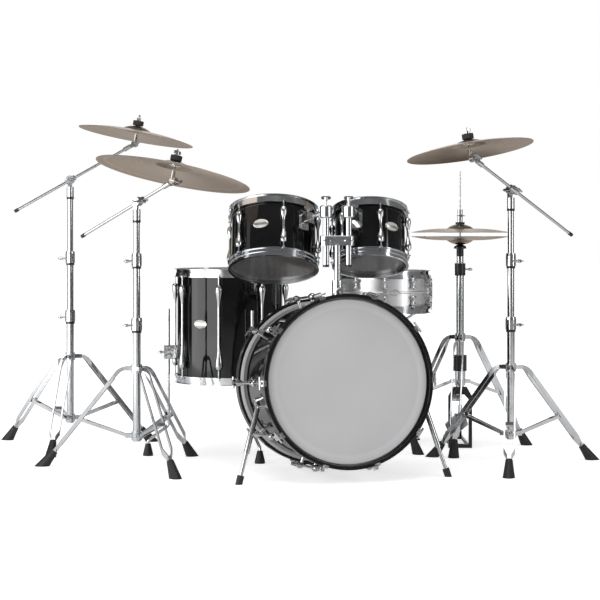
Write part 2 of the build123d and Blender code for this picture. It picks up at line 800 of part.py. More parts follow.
def bass_brackets():
    """Spur bracket discs with their pins, and the tom mount base with its screw."""
    radius = shell_radius(BASS_DIAMETER)
    frame = bass_frame()
    barrel = frame * Cylinder(radius + SEAT_GAP, 2 * BASS_DEPTH)
    pieces = []
    for side in (-1, 1):
        plate = Pos(0, 0, -SPUR_DISC_THICK) * Cylinder(SPUR_DISC, 2 * SPUR_DISC_THICK, align=BASE)
        pin = Cylinder(SPUR_PIN, SPUR_DISC_THICK + SPUR_HEAD_THICK + 2 * TURN_GAP, align=BASE)
        cap = Pos(0, 0, SPUR_DISC_THICK + SPUR_HEAD_THICK + 2 * TURN_GAP) * Cylinder(
            SPUR_CAP, SPUR_PIN, align=BASE
        )
        pieces.append(spur_frame(side) * (plate + pin + cap) - barrel)
    foot = mount_foot()
    place = Pos(foot.X, foot.Y, foot.Z) * Rot(0, 0, BASS_YAW)
    plate = extrude(RectangleRounded(MOUNT_WIDTH, MOUNT_LENGTH, MOUNT_PLATE), MOUNT_PLATE)
    skirt = extrude(RectangleRounded(MOUNT_WIDTH, MOUNT_LENGTH, MOUNT_PLATE), -2 * MOUNT_PLATE)
    socket = disc(MOUNT_SOCKET, 0, MOUNT_SOCKET_HEIGHT)
    bore = disc(POST_RADIUS + TUBE_FIT, -2 * POST_INSIDE, 2 * MOUNT_SOCKET_HEIGHT)
    base = place * (plate + skirt + socket - bore) - barrel
    seat = Pos(0, -MOUNT_SOCKET, MOUNT_SOCKET_HEIGHT * MOUNT_SCREW_SHARE) * Rot(90, 0, 0)
    screw = place * (seat * wing_screw(MOUNT_SOCKET)) - base
    return pieces + [base, screw]


def tom_post():
    """Tom post with the three-hole holder on its head."""
    foot = mount_foot()
    middle = holder_height()
    top = middle + HOLDER_HEIGHT / 2
    post = Pos(foot.X, foot.Y, 0) * pipe(POST_RADIUS, POST_WALL, foot.Z - POST_INSIDE, top)
    block = extrude(SlotCenterToCenter(HOLDER_SPACING, HOLDER_WIDTH), HOLDER_HEIGHT)
    block = fillet(block.edges().group_by(Axis.Z)[-1], CLAMP_WALL / 2)
    block -= disc(POST_RADIUS + SEAT_GAP, 0, HOLDER_HEIGHT)
    for side in (-1, 1):
        block -= Pos(side * HOLDER_SPACING / 2, 0, 0) * disc(ARM_TUBE + TUBE_FIT, 0, HOLDER_HEIGHT)
    holder = Pos(foot.X, foot.Y, top - HOLDER_HEIGHT) * block
    pieces = [post, holder]
    for side in (-1, 1):
        axis = arm_axis(side)
        seat = Pos(axis.X, axis.Y - HOLDER_WIDTH / 2, middle) * Rot(90, 0, 0)
        pieces.append(seat * wing_screw(BALL_RADIUS))
    return pieces


def tom_arm(side, arm_way):
    """Arm tube with its end cap, ball clamp and clamp screw."""
    axis = arm_axis(side)
    ball = arm_ball(side)
    bottom = holder_height() - ARM_DROP
    seat = ball.Z - BALL_CLAMP_HALF
    here = Pos(axis.X, axis.Y, 0)
    tube = here * pipe(ARM_TUBE, ARM_WALL, bottom, seat)
    cap = here * disc(ARM_TUBE, bottom - ARM_CAP, bottom)
    block = Cylinder(BALL_CLAMP_RADIUS, 2 * BALL_CLAMP_HALF)
    block = fillet(block.edges(), CLAMP_WALL)
    mouth = round_bar((0, 0, 0), arm_way * 2 * BALL_CLAMP_RADIUS, BALL_MOUTH)
    cavity = Plane(origin=(0, 0, 0), z_dir=arm_way) * Sphere(BALL_RADIUS + TURN_GAP)
    clamp = Pos(ball.X, ball.Y, ball.Z) * (block - (mouth + cavity))
    screw = Pos(ball.X, ball.Y, ball.Z + BALL_CLAMP_HALF) * wing_screw(BALL_CLAMP_HALF)
    return [tube, cap, clamp, screw]


def tom_bracket(radius, reach, bearing, rise):
    """Bracket on a tom's shell: pad, receiver, clamp screw and the hexagonal arm with its ball."""
    depth = PAD_THICK + LUG_POST
    pad = extrude(Plane.YZ * RectangleRounded(PAD_WIDTH, PAD_HEIGHT, PAD_THICK), depth)
    pad = Pos(radius - LUG_POST, 0, rise) * pad
    face = extrude(Plane.YZ * RectangleRounded(RECEIVER_WIDTH, RECEIVER_HEIGHT, PAD_THICK), RECEIVER_REACH)
    hexagon = Plane.YZ * RegularPolygon(HEX_RADIUS, 6)
    hole = extrude(Plane.YZ * RegularPolygon(HEX_RADIUS + SEAT_GAP, 6), HEX_INSERT)
    bracket = pad + Pos(radius, 0, rise) * face - Cylinder(radius + SEAT_GAP, 4 * PAD_HEIGHT)
    bracket -= Pos(radius + RECEIVER_REACH - HEX_INSERT, 0, rise) * hole
    arm = extrude(hexagon, reach - RECEIVER_REACH + HEX_INSERT - SEAT_GAP)
    arm = Pos(radius + RECEIVER_REACH - HEX_INSERT + SEAT_GAP, 0, rise) * arm
    arm += Pos(radius + reach, 0, rise) * Sphere(BALL_RADIUS)
    side = Pos(radius + RECEIVER_REACH - HEX_INSERT / 2, 0, rise + RECEIVER_HEIGHT / 2)
    screw = side * Rot(0, 0, 90) * wing_screw(BALL_RADIUS)
    return [Rot(0, 0, bearing) * piece for piece in (bracket, arm, screw)]


def hanging_tom(name, frame, diameter, depth, lug_angles, lug_length, reach, bearing, rise):
    """Nodes of one hanging tom."""
    pieces = drum(diameter, depth, TOM_WALL, lug_angles, lug_length, TOM_LUG_BULB)
    pieces["bracket"] = tom_bracket(shell_radius(diameter), reach, bearing, rise)
    return {f"{name}_{key}": [frame * piece for piece in group] for key, group in pieces.items()}


def tom_group():
    """Tom post, arms and both hanging toms."""
    large = large_tom_frame()
    small = small_tom_frame()
    large_way = large.from_local_coords(polar(1, LARGE_TOM_BEARING)) - large.origin
    small_way = small.from_local_coords(polar(1, SMALL_TOM_BEARING)) - small.origin
    nodes = {
        "tom_post": tom_post(),
        "large_tom_arm": tom_arm(-1, large_way * -1),
        "small_tom_arm": tom_arm(1, small_way * -1),
    }
    large_angles = evenly(LARGE_TOM_LUG_COUNT, LARGE_TOM_LUG_PHASE)
    small_angles = evenly(SMALL_TOM_LUG_COUNT, SMALL_TOM_LUG_PHASE)
    nodes.update(
        hanging_tom(
            "large_tom",
            large,
            LARGE_TOM_DIAMETER,
            LARGE_TOM_DEPTH,
            large_angles,
            LARGE_TOM_LUG_LENGTH,
            LARGE_TOM_REACH,
            LARGE_TOM_BEARING,
            LARGE_TOM_ARM_RISE,
        )
    )
    nodes.update(
        hanging_tom(
            "small_tom",
            small,
            SMALL_TOM_DIAMETER,
            SMALL_TOM_DEPTH,
            small_angles,
            SMALL_TOM_LUG_LENGTH,
            SMALL_TOM_REACH,
            SMALL_TOM_BEARING,
            SMALL_TOM_ARM_RISE,
        )
    )
    return nodes


def floor_tom_middle():
    """Height of the middle of the floor tom's shell."""
    return FLOOR_TOM_LIFT + HOOP_RISE + FLOOR_TOM_DEPTH / 2


def floor_tom():
    """Floor tom with its leg brackets, its three bent legs and their rubber feet."""
    middle = floor_tom_middle()
    here = Pos(FLOOR_TOM_X, FLOOR_TOM_Y, 0)
    radius = shell_radius(FLOOR_TOM_DIAMETER)
    angles = evenly(FLOOR_TOM_LUG_COUNT, FLOOR_TOM_LUG_PHASE)
    pieces = drum(
        FLOOR_TOM_DIAMETER, FLOOR_TOM_DEPTH, FLOOR_TOM_WALL, angles, FLOOR_TOM_LUG_LENGTH, FLOOR_TOM_LUG_BULB
    )
    nodes = {
        f"floor_tom_{key}": [here * Pos(0, 0, middle) * piece for piece in group]
        for key, group in pieces.items()
    }
    axis = radius + FLOOR_LEG_STANDOFF
    level = middle - LEG_BRACKET_DROP
    length = FLOOR_LEG_STANDOFF + FLOOR_LEG_RADIUS + LEG_BRACKET_WALL + LUG_POST
    section = Plane.YZ * RectangleRounded(LEG_BRACKET_WIDTH, LEG_BRACKET_HEIGHT, LEG_BRACKET_WALL / 2)
    bracket = Pos(radius - LUG_POST, 0, level) * extrude(section, length)
    bracket -= Cylinder(radius + SEAT_GAP, 4 * FLOOR_TOM_DEPTH)
    bracket -= Pos(axis, 0, 0) * disc(FLOOR_LEG_RADIUS + TURN_GAP, 0, FLOOR_LEG_TOP)
    outside = Pos(axis + FLOOR_LEG_RADIUS + LEG_BRACKET_WALL, 0, level) * Rot(0, 90, 0)
    screw = outside * Rot(0, 0, 90) * wing_screw(BALL_RADIUS)
    toe = axis + FLOOR_LEG_SPREAD
    path = FilletPolyline(
        (axis, 0, FLOOR_LEG_TOP),
        (axis, 0, FLOOR_LEG_KNEE),
        (toe, 0, FLOOR_LEG_ANKLE),
        (toe, 0, FLOOR_FOOT_SOLE),
        radius=FLOOR_LEG_FOOT_BEND,
    )
    section = Plane(origin=(axis, 0, FLOOR_LEG_TOP), z_dir=(0, 0, -1)) * Circle(FLOOR_LEG_RADIUS)
    leg = sweep(section, path=path)
    sole = FLOOR_FOOT_SOLE
    foot = turned([(0, 0), (FLOOR_FOOT_BASE, 0), (FLOOR_FOOT_BASE, sole), (FLOOR_FOOT_TOP, FLOOR_FOOT_HEIGHT),
                   (0, FLOOR_FOOT_HEIGHT)])
    foot = Pos(toe, 0, 0) * foot - leg
    lugs = nodes["floor_tom_lugs"]
    for piece in (bracket, screw):
        lugs.extend(here * copy for copy in around(piece, FLOOR_LEG_ANGLES))
    nodes["floor_tom_legs"] = [here * copy for copy in around(leg, FLOOR_LEG_ANGLES)]
    feet = [here * copy for copy in around(foot, FLOOR_LEG_ANGLES)]
    return nodes, feet


def snare_middle():
    """Height of the middle of the snare drum's shell."""
    return SNARE_SEAT + HOOP_RISE + SNARE_DEPTH / 2


def snare_shell(radius):
    """Spun metal shell with a raised centre bead and flanged edges."""
    half = SNARE_DEPTH / 2
    inner = radius - SNARE_WALL
    bead = ThreePointArc((radius, 0, -SNARE_BEAD), (radius + SNARE_BEAD / 2, 0, 0), (radius, 0, SNARE_BEAD))
    lip = radius - SNARE_FLANGE
    outside = Polyline(
        (radius, 0, SNARE_BEAD),
        (radius, 0, half),
        (lip, 0, half),
        (lip, 0, half - SNARE_WALL),
        (inner, 0, half - SNARE_WALL),
        (inner, 0, SNARE_WALL - half),
        (lip, 0, SNARE_WALL - half),
        (lip, 0, -half),
        (radius, 0, -half),
        (radius, 0, -SNARE_BEAD),
    )
    return revolve(make_face([bead, outside]), Axis.Z)


def snare_drum():
    """Snare drum with its lugs, strainer, lever, butt and snare wires."""
    here = Pos(SNARE_X, SNARE_Y, snare_middle())
    radius = shell_radius(SNARE_DIAMETER)
    half = SNARE_DEPTH / 2
    axis = rod_circle(radius)
    angles = evenly(SNARE_LUG_COUNT, SNARE_LUG_PHASE)
    top_lug = Pos(0, 0, SNARE_LUG_HEIGHT) * lug(
        SNARE_LUG_LENGTH, SNARE_LUG_BULB, axis, radius, (0,), SNARE_ROD_ENGAGE
    )
    rod_bottom = SNARE_LUG_HEIGHT + SNARE_LUG_LENGTH / 2 - SNARE_ROD_ENGAGE + SEAT_GAP
    rod = tension_rod(axis, rod_bottom, half + hoop_foot() + HOOP_STEEL)
    lugs = [copy for piece in both_ends(top_lug) + both_ends(rod) for copy in around(piece, angles)]
    gate = Box(4 * radius, GATE_WIDTH, HOOP_RISE, align=BASE)
    hoop = Pos(0, 0, half) * flanged_hoop(radius, angles)
    lower_hoop = mirror(hoop, about=Plane.XY) - Pos(0, 0, -half - HEAD_FILM - HOOP_RISE) * gate
    body = Pos(radius - LUG_POST, 0, 0) * extrude(
        Plane.YZ * RectangleRounded(STRAINER_WIDTH, STRAINER_HEIGHT, LUG_POST), STRAINER_DEPTH + LUG_POST
    )
    body -= Cylinder(radius + SNARE_BEAD, SNARE_DEPTH)
    slot = Pos(radius + STRAINER_DEPTH, 0, 0) * Box(
        2 * (LEVER_THICK + 2 * LEVER_PIN), LEVER_WIDTH + 2 * TURN_GAP, 2 * STRAINER_HEIGHT
    )
    butt = Rot(0, 0, 180) * body
    pin_x = radius + STRAINER_DEPTH - LEVER_THICK
    pin_z = LEVER_LENGTH / 2 - STRAINER_HEIGHT / 2
    pin = round_bar((pin_x, -STRAINER_WIDTH / 2, pin_z), (pin_x, STRAINER_WIDTH / 2, pin_z), LEVER_PIN)
    strainer = body - slot + pin
    wire_z = -half - HEAD_FILM - TURN_GAP - WIRE_RADIUS
    wires = []
    for index in range(WIRE_COUNT):
        y = (index - (WIRE_COUNT - 1) / 2) * WIRE_PITCH
        wires.append(round_bar((-WIRE_LENGTH / 2, y, wire_z), (WIRE_LENGTH / 2, y, wire_z), WIRE_RADIUS))
    width = WIRE_COUNT * WIRE_PITCH
    for side in (-1, 1):
        plate = Pos(side * WIRE_LENGTH / 2, 0, wire_z) * Box(WIRE_PLATE, width, 2 * WIRE_RADIUS)
        strap_end = radius + STRAINER_DEPTH - 2 * WIRE_RADIUS
        strap_length = strap_end - WIRE_LENGTH / 2
        strap = Pos(side * (strap_end - strap_length / 2), 0, wire_z) * Box(strap_length, width, WIRE_RADIUS)
        rise = -STRAINER_HEIGHT / 2 - wire_z - SEAT_GAP
        tab = Pos(side * strap_end, 0, wire_z) * Box(2 * WIRE_RADIUS, width / 2, rise, align=BASE)
        wires.append(plate + strap + tab)
    nodes = {
        "snare_shell": [snare_shell(radius)],
        "snare_hoops": [hoop, lower_hoop],
        "snare_heads": both_ends(Pos(0, 0, half) * drum_head(radius, FLESH_WIDTH, COLLAR_DROP)),
        "snare_lugs": lugs,
        "snare_strainer": [strainer, butt],
        "snare_lever": [strainer_lever()],
        "snare_wires": [Part() + wires],
    }
    return {name: [here * piece for piece in group] for name, group in nodes.items()}


def lever_pivot():
    """Pivot of the strainer's lever in the snare drum's own frame."""
    x = shell_radius(SNARE_DIAMETER) + STRAINER_DEPTH - LEVER_THICK
    return Vector(x, 0, LEVER_LENGTH / 2 - STRAINER_HEIGHT / 2)


def strainer_lever():
    """Throw-off lever standing upright on its pin."""
    pivot = lever_pivot()
    hub = round_bar((0, -LEVER_WIDTH / 2, 0), (0, LEVER_WIDTH / 2, 0), LEVER_PIN + LEVER_THICK / 2)
    blade = Pos(LEVER_THICK / 2, 0, 0) * Box(LEVER_THICK, LEVER_WIDTH, LEVER_LENGTH, align=BASE)
    lever = hub + blade - round_bar((0, -LEVER_WIDTH, 0), (0, LEVER_WIDTH, 0), LEVER_PIN + TUBE_FIT)
    return Pos(pivot.X, 0, pivot.Z) * lever


def leg_ring(stations, strip):
    """Plan of a double strip that narrows and spreads along X: (distance, half width) stations."""
    outer = [(x, width) for x, width in stations] + [(x, -width) for x, width in reversed(stations)]
    first = stations[0]
    inner_stations = [(first[0] + 2 * strip, first[1] - strip)]
    inner_stations += [(x, width - strip) for x, width in stations[1:-1]]
    inner = inner_stations + [(x, -width) for x, width in reversed(inner_stations)]
    return make_face(Polyline(*outer, close=True)) - make_face(Polyline(*inner, close=True))


def double_strip(path, band, stations, strip, height):
    """Two strips that follow a path drawn as (distance, height), spread as the plan's stations say."""
    widest = max(width for _, width in stations)
    side = extrude(Plane.XZ * trace(path, band), widest, both=True)
    plan = extrude(leg_ring(stations, strip), height)
    return side & plan


def tripod(tube, collar, brace, foot_radius, angles):
    """Double-braced tripod about a tube: legs with braces, two collars and rubber feet."""
    pivot = tube + COLLAR_WALL + PIVOT_OUT
    shoulder = Vector(pivot + LEG_SHOULDER, 0, collar)
    floor_point = Vector(foot_radius, 0, 0)
    way = (floor_point - shoulder).normalized()
    toe = floor_point - way * (RUBBER_LENGTH - RUBBER_INSERT)
    rubber_start = floor_point - way * RUBBER_LENGTH
    path = FilletPolyline(
        (pivot - LEG_TAIL, collar), (shoulder.X, shoulder.Z), (toe.X, toe.Z), radius=LEG_SHOULDER_BEND
    )
    stations = [
        (pivot - LEG_TAIL - LEG_BAND, LEG_NECK),
        (pivot + LEG_NECK_LENGTH, LEG_NECK),
        (pivot + 2 * LEG_SHOULDER, LEG_SPREAD),
        (rubber_start.X - LEG_SHOULDER, LEG_SPREAD),
        (rubber_start.X - LEG_TAIL, LEG_TOE),
        (foot_radius, LEG_TOE),
    ]
    leg = double_strip(path, LEG_BAND, stations, LEG_STRIP, 2 * collar)
    knee = shoulder + (floor_point - shoulder) * BRACE_SHARE
    ear_half = LEG_NECK + TURN_GAP + EAR_PLATE
    pin = round_bar((pivot, -ear_half, collar), (pivot, ear_half, collar), PIVOT_PIN)
    knee_half = LEG_SPREAD + EAR_PLATE
    knee_bore = round_bar((knee.X, -knee_half, knee.Z), (knee.X, knee_half, knee.Z), PIVOT_PIN + TURN_GAP / 2)
    leg = leg + pin - knee_bore
    low = Vector(pivot, 0, brace)
    brace_stations = [
        (pivot - LEG_TAIL - LEG_BAND, LEG_NECK),
        (pivot + LEG_NECK_LENGTH, LEG_NECK),
        (knee.X - LEG_SHOULDER, BRACE_SPREAD),
        (knee.X + LEG_BAND, BRACE_SPREAD),
    ]
    brace_way = (knee - low).normalized()
    brace_start = low - brace_way * LEG_TAIL
    brace_end = knee + brace_way * LEG_TAIL
    brace_path = Line((brace_start.X, brace_start.Z), (brace_end.X, brace_end.Z))
    strut = double_strip(brace_path, BRACE_BAND, brace_stations, BRACE_STRIP, 2 * collar)
    low_pin = round_bar((low.X, -ear_half, low.Z), (low.X, ear_half, low.Z), PIVOT_PIN)
    inside = LEG_SPREAD - LEG_STRIP - TURN_GAP
    spacer = round_bar((knee.X, -inside, knee.Z), (knee.X, inside, knee.Z), 2 * PIVOT_PIN)
    rivet = round_bar((knee.X, -LEG_SPREAD, knee.Z), (knee.X, LEG_SPREAD, knee.Z), PIVOT_PIN)
    strut = strut + low_pin + spacer + rivet
    cone = Solid.make_cone(
        RUBBER_TOP,
        RUBBER_BASE + RUBBER_BASE - RUBBER_TOP,
        2 * RUBBER_LENGTH,
        Plane(origin=rubber_start, z_dir=way),
    )
    rubber = split(cone - leg, bisect_by=Plane.XY, keep=Keep.TOP)
    upper = pipe(tube + SEAT_GAP + COLLAR_WALL, COLLAR_WALL, -COLLAR_HEIGHT / 2, COLLAR_HEIGHT / 2)
    ears = []
    for side in (-1, 1):
        middle = side * (LEG_NECK + TURN_GAP + EAR_PLATE / 2)
        plate = Box(2 * PIVOT_OUT, EAR_PLATE, COLLAR_HEIGHT / 2)
        reach = pivot + PIVOT_OUT / 2 - PIVOT_OUT
        ears.append(Pos(reach, middle, 0) * plate)
    hole = round_bar((pivot, -2 * ear_half, 0), (pivot, 2 * ear_half, 0), PIVOT_PIN + TURN_GAP / 2)
    ring = upper
    for ear in ears:
        ring = ring + around(ear, angles)
    ring = ring - disc(tube + SEAT_GAP, -COLLAR_HEIGHT, COLLAR_HEIGHT) - around(hole, angles)
    boss = Pos(tube + COLLAR_WALL, 0, 0) * Rot(0, 90, 0) * Rot(0, 0, 90)
    screw = Pos(0, 0, collar) * Rot(0, 0, angles[0] + 180) * boss * wing_screw(BALL_RADIUS + COLLAR_WALL)
    high_ring = Pos(0, 0, collar) * ring
    low_ring = Pos(0, 0, brace) * ring
    legs = around(leg, angles) + around(strut, angles)
    return legs, [high_ring, low_ring, screw - high_ring], around(rubber, angles)


def height_clamp(outer, inner, height):
    """Height clamp at the top of a tube, with its nylon ring below and its wing screw."""
    bottom = height - CLAMP_HEIGHT
    wall = outer + CLAMP_WALL
    body = turned(
        [
            (outer + SEAT_GAP, bottom),
            (wall, bottom),
            (wall, height),
            (inner + TUBE_FIT + CLAMP_WALL, height + CLAMP_LIP),
            (inner + TUBE_FIT, height + CLAMP_LIP),
            (inner + TUBE_FIT, height + SEAT_GAP),
            (outer + SEAT_GAP, height + SEAT_GAP),
        ]
    )
    ring = pipe(outer + SEAT_GAP + RING_WALL, RING_WALL, bottom - RING_HEIGHT, bottom)
    side = Pos(wall - TUBE_FIT, 0, height - CLAMP_HEIGHT / 2) * Rot(0, 90, 0) * Rot(0, 0, 90)
    screw = side * wing_screw(BALL_RADIUS + CLAMP_WALL) - body
    return [body, ring, screw]


def middle_tube():
    """Outer radius of a stand's middle tube, which slides in the lower one."""
    return STAND_TUBE - TUBE_WALL - TUBE_FIT


def upper_tube():
    """Outer radius of a stand's upper tube, which slides in the middle one."""
    return middle_tube() - TUBE_WALL - TUBE_FIT


def boom_offset():
    """Sideways distance of a boom rod from its stand's axis."""
    return TURN_GAP + BOOM_DISC_THICK + BOOM_RADIUS


class Stand:
    """Frames of one cymbal stand, worked out from its place, its boom and its cymbal's lean."""

    def __init__(self, name, place, leg, wing, clamp, bearing, rise, front, rear, lean, cymbal):
        self.name = name
        self.place = place
        self.leg = leg
        self.wing = wing
        self.clamp = clamp
        self.front = front
        self.rear = rear
        self.cymbal = cymbal
        self.boom_plane = Plane(
            origin=(place[0], place[1], clamp), x_dir=(cosd(bearing), sind(bearing), 0), z_dir=(0, 0, 1)
        )
        self.boom_way = Vector(cosd(bearing) * cosd(rise), sind(bearing) * cosd(rise), sind(rise))
        self.hinge = self.boom_plane.y_dir
        self.boom_axis = self.boom_plane.origin + self.hinge * boom_offset()
        self.normal = Vector(sind(lean[0]), sind(lean[1]), cosd(lean[0]) * cosd(lean[1])).normalized()
        self.tilt_axis = self.boom_way.cross(self.normal).normalized()
        self.tilt_pivot = self.boom_axis + self.boom_way * (front + TILTER_OFFSET)
        self.rod_foot = self.tilt_pivot + self.tilt_axis * (TURN_GAP + TILTER_POST_OFFSET)
        self.seat = self.rod_foot + self.normal * CYMBAL_RISE
        self.rod_plane = Plane(origin=self.rod_foot, x_dir=self.tilt_axis, z_dir=self.normal)
        self.cymbal_plane = Plane(origin=self.seat, x_dir=self.tilt_axis, z_dir=self.normal)
        self.tilter_plane = Plane(origin=self.tilt_pivot, x_dir=self.normal, z_dir=self.tilt_axis)


def stands():
    """The three cymbal stands."""
    crash = (CRASH_DIAMETER, CRASH_BELL, CRASH_BOW)
    ride = (RIDE_DIAMETER, RIDE_BELL, RIDE_BOW)
    left = Stand(
        "left_crash",
        (LEFT_CRASH_X, LEFT_CRASH_Y),
        LEFT_CRASH_LEG,
        LEFT_CRASH_WING,
        LEFT_CRASH_CLAMP,
        LEFT_CRASH_BEARING,
        LEFT_CRASH_RISE,
        LEFT_CRASH_FRONT,
        LEFT_CRASH_REAR,
        LEFT_CRASH_LEAN,
        crash,
    )
    middle = Stand(
        "ride",
        (RIDE_X, RIDE_Y),
        RIDE_LEG,
        RIDE_WING,
        RIDE_CLAMP,
        RIDE_BEARING,
        RIDE_RISE,
        RIDE_FRONT,
        RIDE_REAR,
        RIDE_LEAN,
        ride,
    )
    right = Stand(
        "right_crash",
        (RIGHT_CRASH_X, RIGHT_CRASH_Y),
        RIGHT_CRASH_LEG,
        RIGHT_CRASH_WING,
        RIGHT_CRASH_CLAMP,
        RIGHT_CRASH_BEARING,
        RIGHT_CRASH_RISE,
        RIGHT_CRASH_FRONT,
        RIGHT_CRASH_REAR,
        RIGHT_CRASH_LEAN,
        crash,
    )
    return [left, middle, right]


def stand_upper_tube(stand):
    """Upper tube with its stop ring, the fixed half of the boom clamp and its wing screw."""
    radius = upper_tube()
    top = -BOOM_NECK
    tube = pipe(radius, TUBE_WALL, UPPER_CLAMP - TUBE_LAP - stand.clamp, top)
    cup = turned(
        [
            (0, top),
            (radius, top),
            (radius, top - BOOM_NECK),
            (radius + CLAMP_WALL / 2, top - BOOM_NECK),
            (radius + CLAMP_WALL / 2, top + CLAMP_WALL),
            (0, top + CLAMP_WALL),
        ]
    )
    cup -= disc(radius + SEAT_GAP, top - 2 * BOOM_NECK, top)
    plate = round_bar((0, -BOOM_DISC_THICK, 0), (0, 0, 0), BOOM_DISC)
    neck = Pos(0, -BOOM_DISC_THICK / 2, top) * Box(BOOM_DISC, BOOM_DISC_THICK, BOOM_NECK, align=BASE)
    ring = pipe(radius + SEAT_GAP + RING_WALL, RING_WALL, top - BOOM_NECK - RING_HEIGHT, top - BOOM_NECK)
    screw = Pos(0, -BOOM_DISC_THICK, 0) * Rot(90, 0, 0) * wing_screw(BALL_RADIUS + CLAMP_WALL)
    return [stand.boom_plane * piece for piece in (tube, cup + neck + plate, ring, screw)]


def stand_boom(stand):
    """Turning half of the boom clamp, boom rod with its end cap, and the fixed half of the tilter."""
    centre = stand.boom_plane.origin
    axis = stand.boom_axis
    way = stand.boom_way
    plate = round_bar(centre + stand.hinge * TURN_GAP, axis, BOOM_DISC)
    half = way * (BOOM_SLEEVE_LENGTH / 2)
    sleeve = round_bar(axis - half, axis + half, BOOM_SLEEVE)
    rod = round_bar(axis - way * stand.rear, axis + way * stand.front, BOOM_RADIUS)
    bore = round_bar(axis - half * 2, axis + half * 2, BOOM_RADIUS + SEAT_GAP)
    clamp = plate + sleeve - bore
    tail = axis - way * stand.rear
    cap = round_bar(tail - way * CLAMP_WALL, tail + way * BOOM_TAIL_CAP, BOOM_RADIUS + CLAMP_WALL / 4)
    cap -= rod
    screw_plane = Plane(origin=axis + stand.hinge * BOOM_SLEEVE, x_dir=way, z_dir=stand.hinge)
    screw = screw_plane * wing_screw(BALL_RADIUS) - clamp
    pivot = stand.tilt_pivot
    front = axis + way * stand.front
    ferrule = round_bar(front - way * TILTER_FERRULE_LENGTH, front, TILTER_FERRULE) - rod
    cheek = round_bar(pivot - stand.tilt_axis * TILTER_DISC_THICK, pivot, TILTER_DISC)
    bridge_plane = Plane(origin=front, x_dir=stand.tilt_axis, z_dir=way)
    bridge = bridge_plane * Pos(-TILTER_DISC_THICK / 2, 0, -CLAMP_WALL) * Box(
        TILTER_DISC_THICK, TILTER_DISC, TILTER_OFFSET + CLAMP_WALL, align=BASE
    )
    head = ferrule + cheek + bridge - rod
    tilt_screw_plane = Plane(
        origin=pivot - stand.tilt_axis * TILTER_DISC_THICK, x_dir=way, z_dir=stand.tilt_axis * -1
    )
    tilt_screw = tilt_screw_plane * wing_screw(BALL_RADIUS)
    return [clamp, rod, cap, screw, head, tilt_screw]


def stand_tilter(stand):
    """Turning half of the tilter with the cymbal rod, washer, felts and wing nut."""
    plate = Pos(0, 0, TURN_GAP) * Cylinder(TILTER_DISC, TILTER_DISC_THICK, align=BASE)
    bell_drop = CYMBAL_RISE - FELT_ROCK_GAP
    washer_top = bell_drop - LOWER_FELT
    washer_bottom = washer_top - SEAT_WASHER_THICK
    cymbal_top = CYMBAL_RISE + CYMBAL_THICK + FELT_TOP_GAP
    nut_seat = cymbal_top + UPPER_FELT
    top = nut_seat + 2 * WING_HEIGHT
    post = disc(TILTER_POST, 0, TILTER_POST_LENGTH)
    rod = disc(CYMBAL_ROD, 0, top)
    sleeve = disc(CYMBAL_SLEEVE, washer_bottom, nut_seat)
    washer = disc(SEAT_WASHER, washer_bottom, washer_top)
    body = stand.tilter_plane * plate + stand.rod_plane * (post + rod + sleeve + washer)
    bore = CYMBAL_SLEEVE + SEAT_GAP
    lower = turned(
        [
            (bore, washer_top),
            (FELT_RADIUS, washer_top),
            (FELT_RADIUS, bell_drop - FELT_BEVEL),
            (FELT_NOSE, bell_drop),
            (bore, bell_drop),
        ]
    )
    upper = turned(
        [
            (bore, cymbal_top),
            (FELT_NOSE, cymbal_top),
            (FELT_RADIUS, cymbal_top + FELT_BEVEL / 3),
            (FELT_RADIUS, nut_seat),
            (bore, nut_seat),
        ]
    )
    nut = extrude(Plane.XZ * SlotCenterToCenter(WING_SPAN, WING_HEIGHT), WING_THICK / 2, both=True)
    nut = Pos(0, 0, nut_seat + WING_HEIGHT) * nut + disc(2 * CYMBAL_ROD, nut_seat, nut_seat + WING_HEIGHT)
    nut -= disc(CYMBAL_ROD + SEAT_GAP, nut_seat, top)
    return [body] + [stand.rod_plane * piece for piece in (lower, upper, nut)]


def cymbal(diameter, bell, bell_height, bow):
    """Cymbal with its bell and bow; Z = 0 is its underside at the hole."""
    rim = diameter / 2
    bell_foot = -bell_height
    rim_z = bell_foot - bow
    bell_crown = ((CYMBAL_HOLE + bell) / 2, 0, -bell_height * BELL_CROWN_SHARE)
    bow_middle = ((bell + rim) / 2, 0, bell_foot - bow / 2 + BOW_BULGE)
    up = Vector(0, 0, CYMBAL_THICK)
    low_bell = ThreePointArc((CYMBAL_HOLE, 0, 0), bell_crown, (bell, 0, bell_foot))
    low_bow = ThreePointArc((bell, 0, bell_foot), bow_middle, (rim, 0, rim_z))
    edges = [
        low_bell,
        low_bow,
        Line((rim, 0, rim_z), (rim, 0, rim_z + CYMBAL_THICK)),
        Pos(*up) * low_bow,
        Pos(*up) * low_bell,
        Line((CYMBAL_HOLE, 0, 0), (CYMBAL_HOLE, 0, CYMBAL_THICK)),
    ]
    return revolve(make_face(edges), Axis.Z)


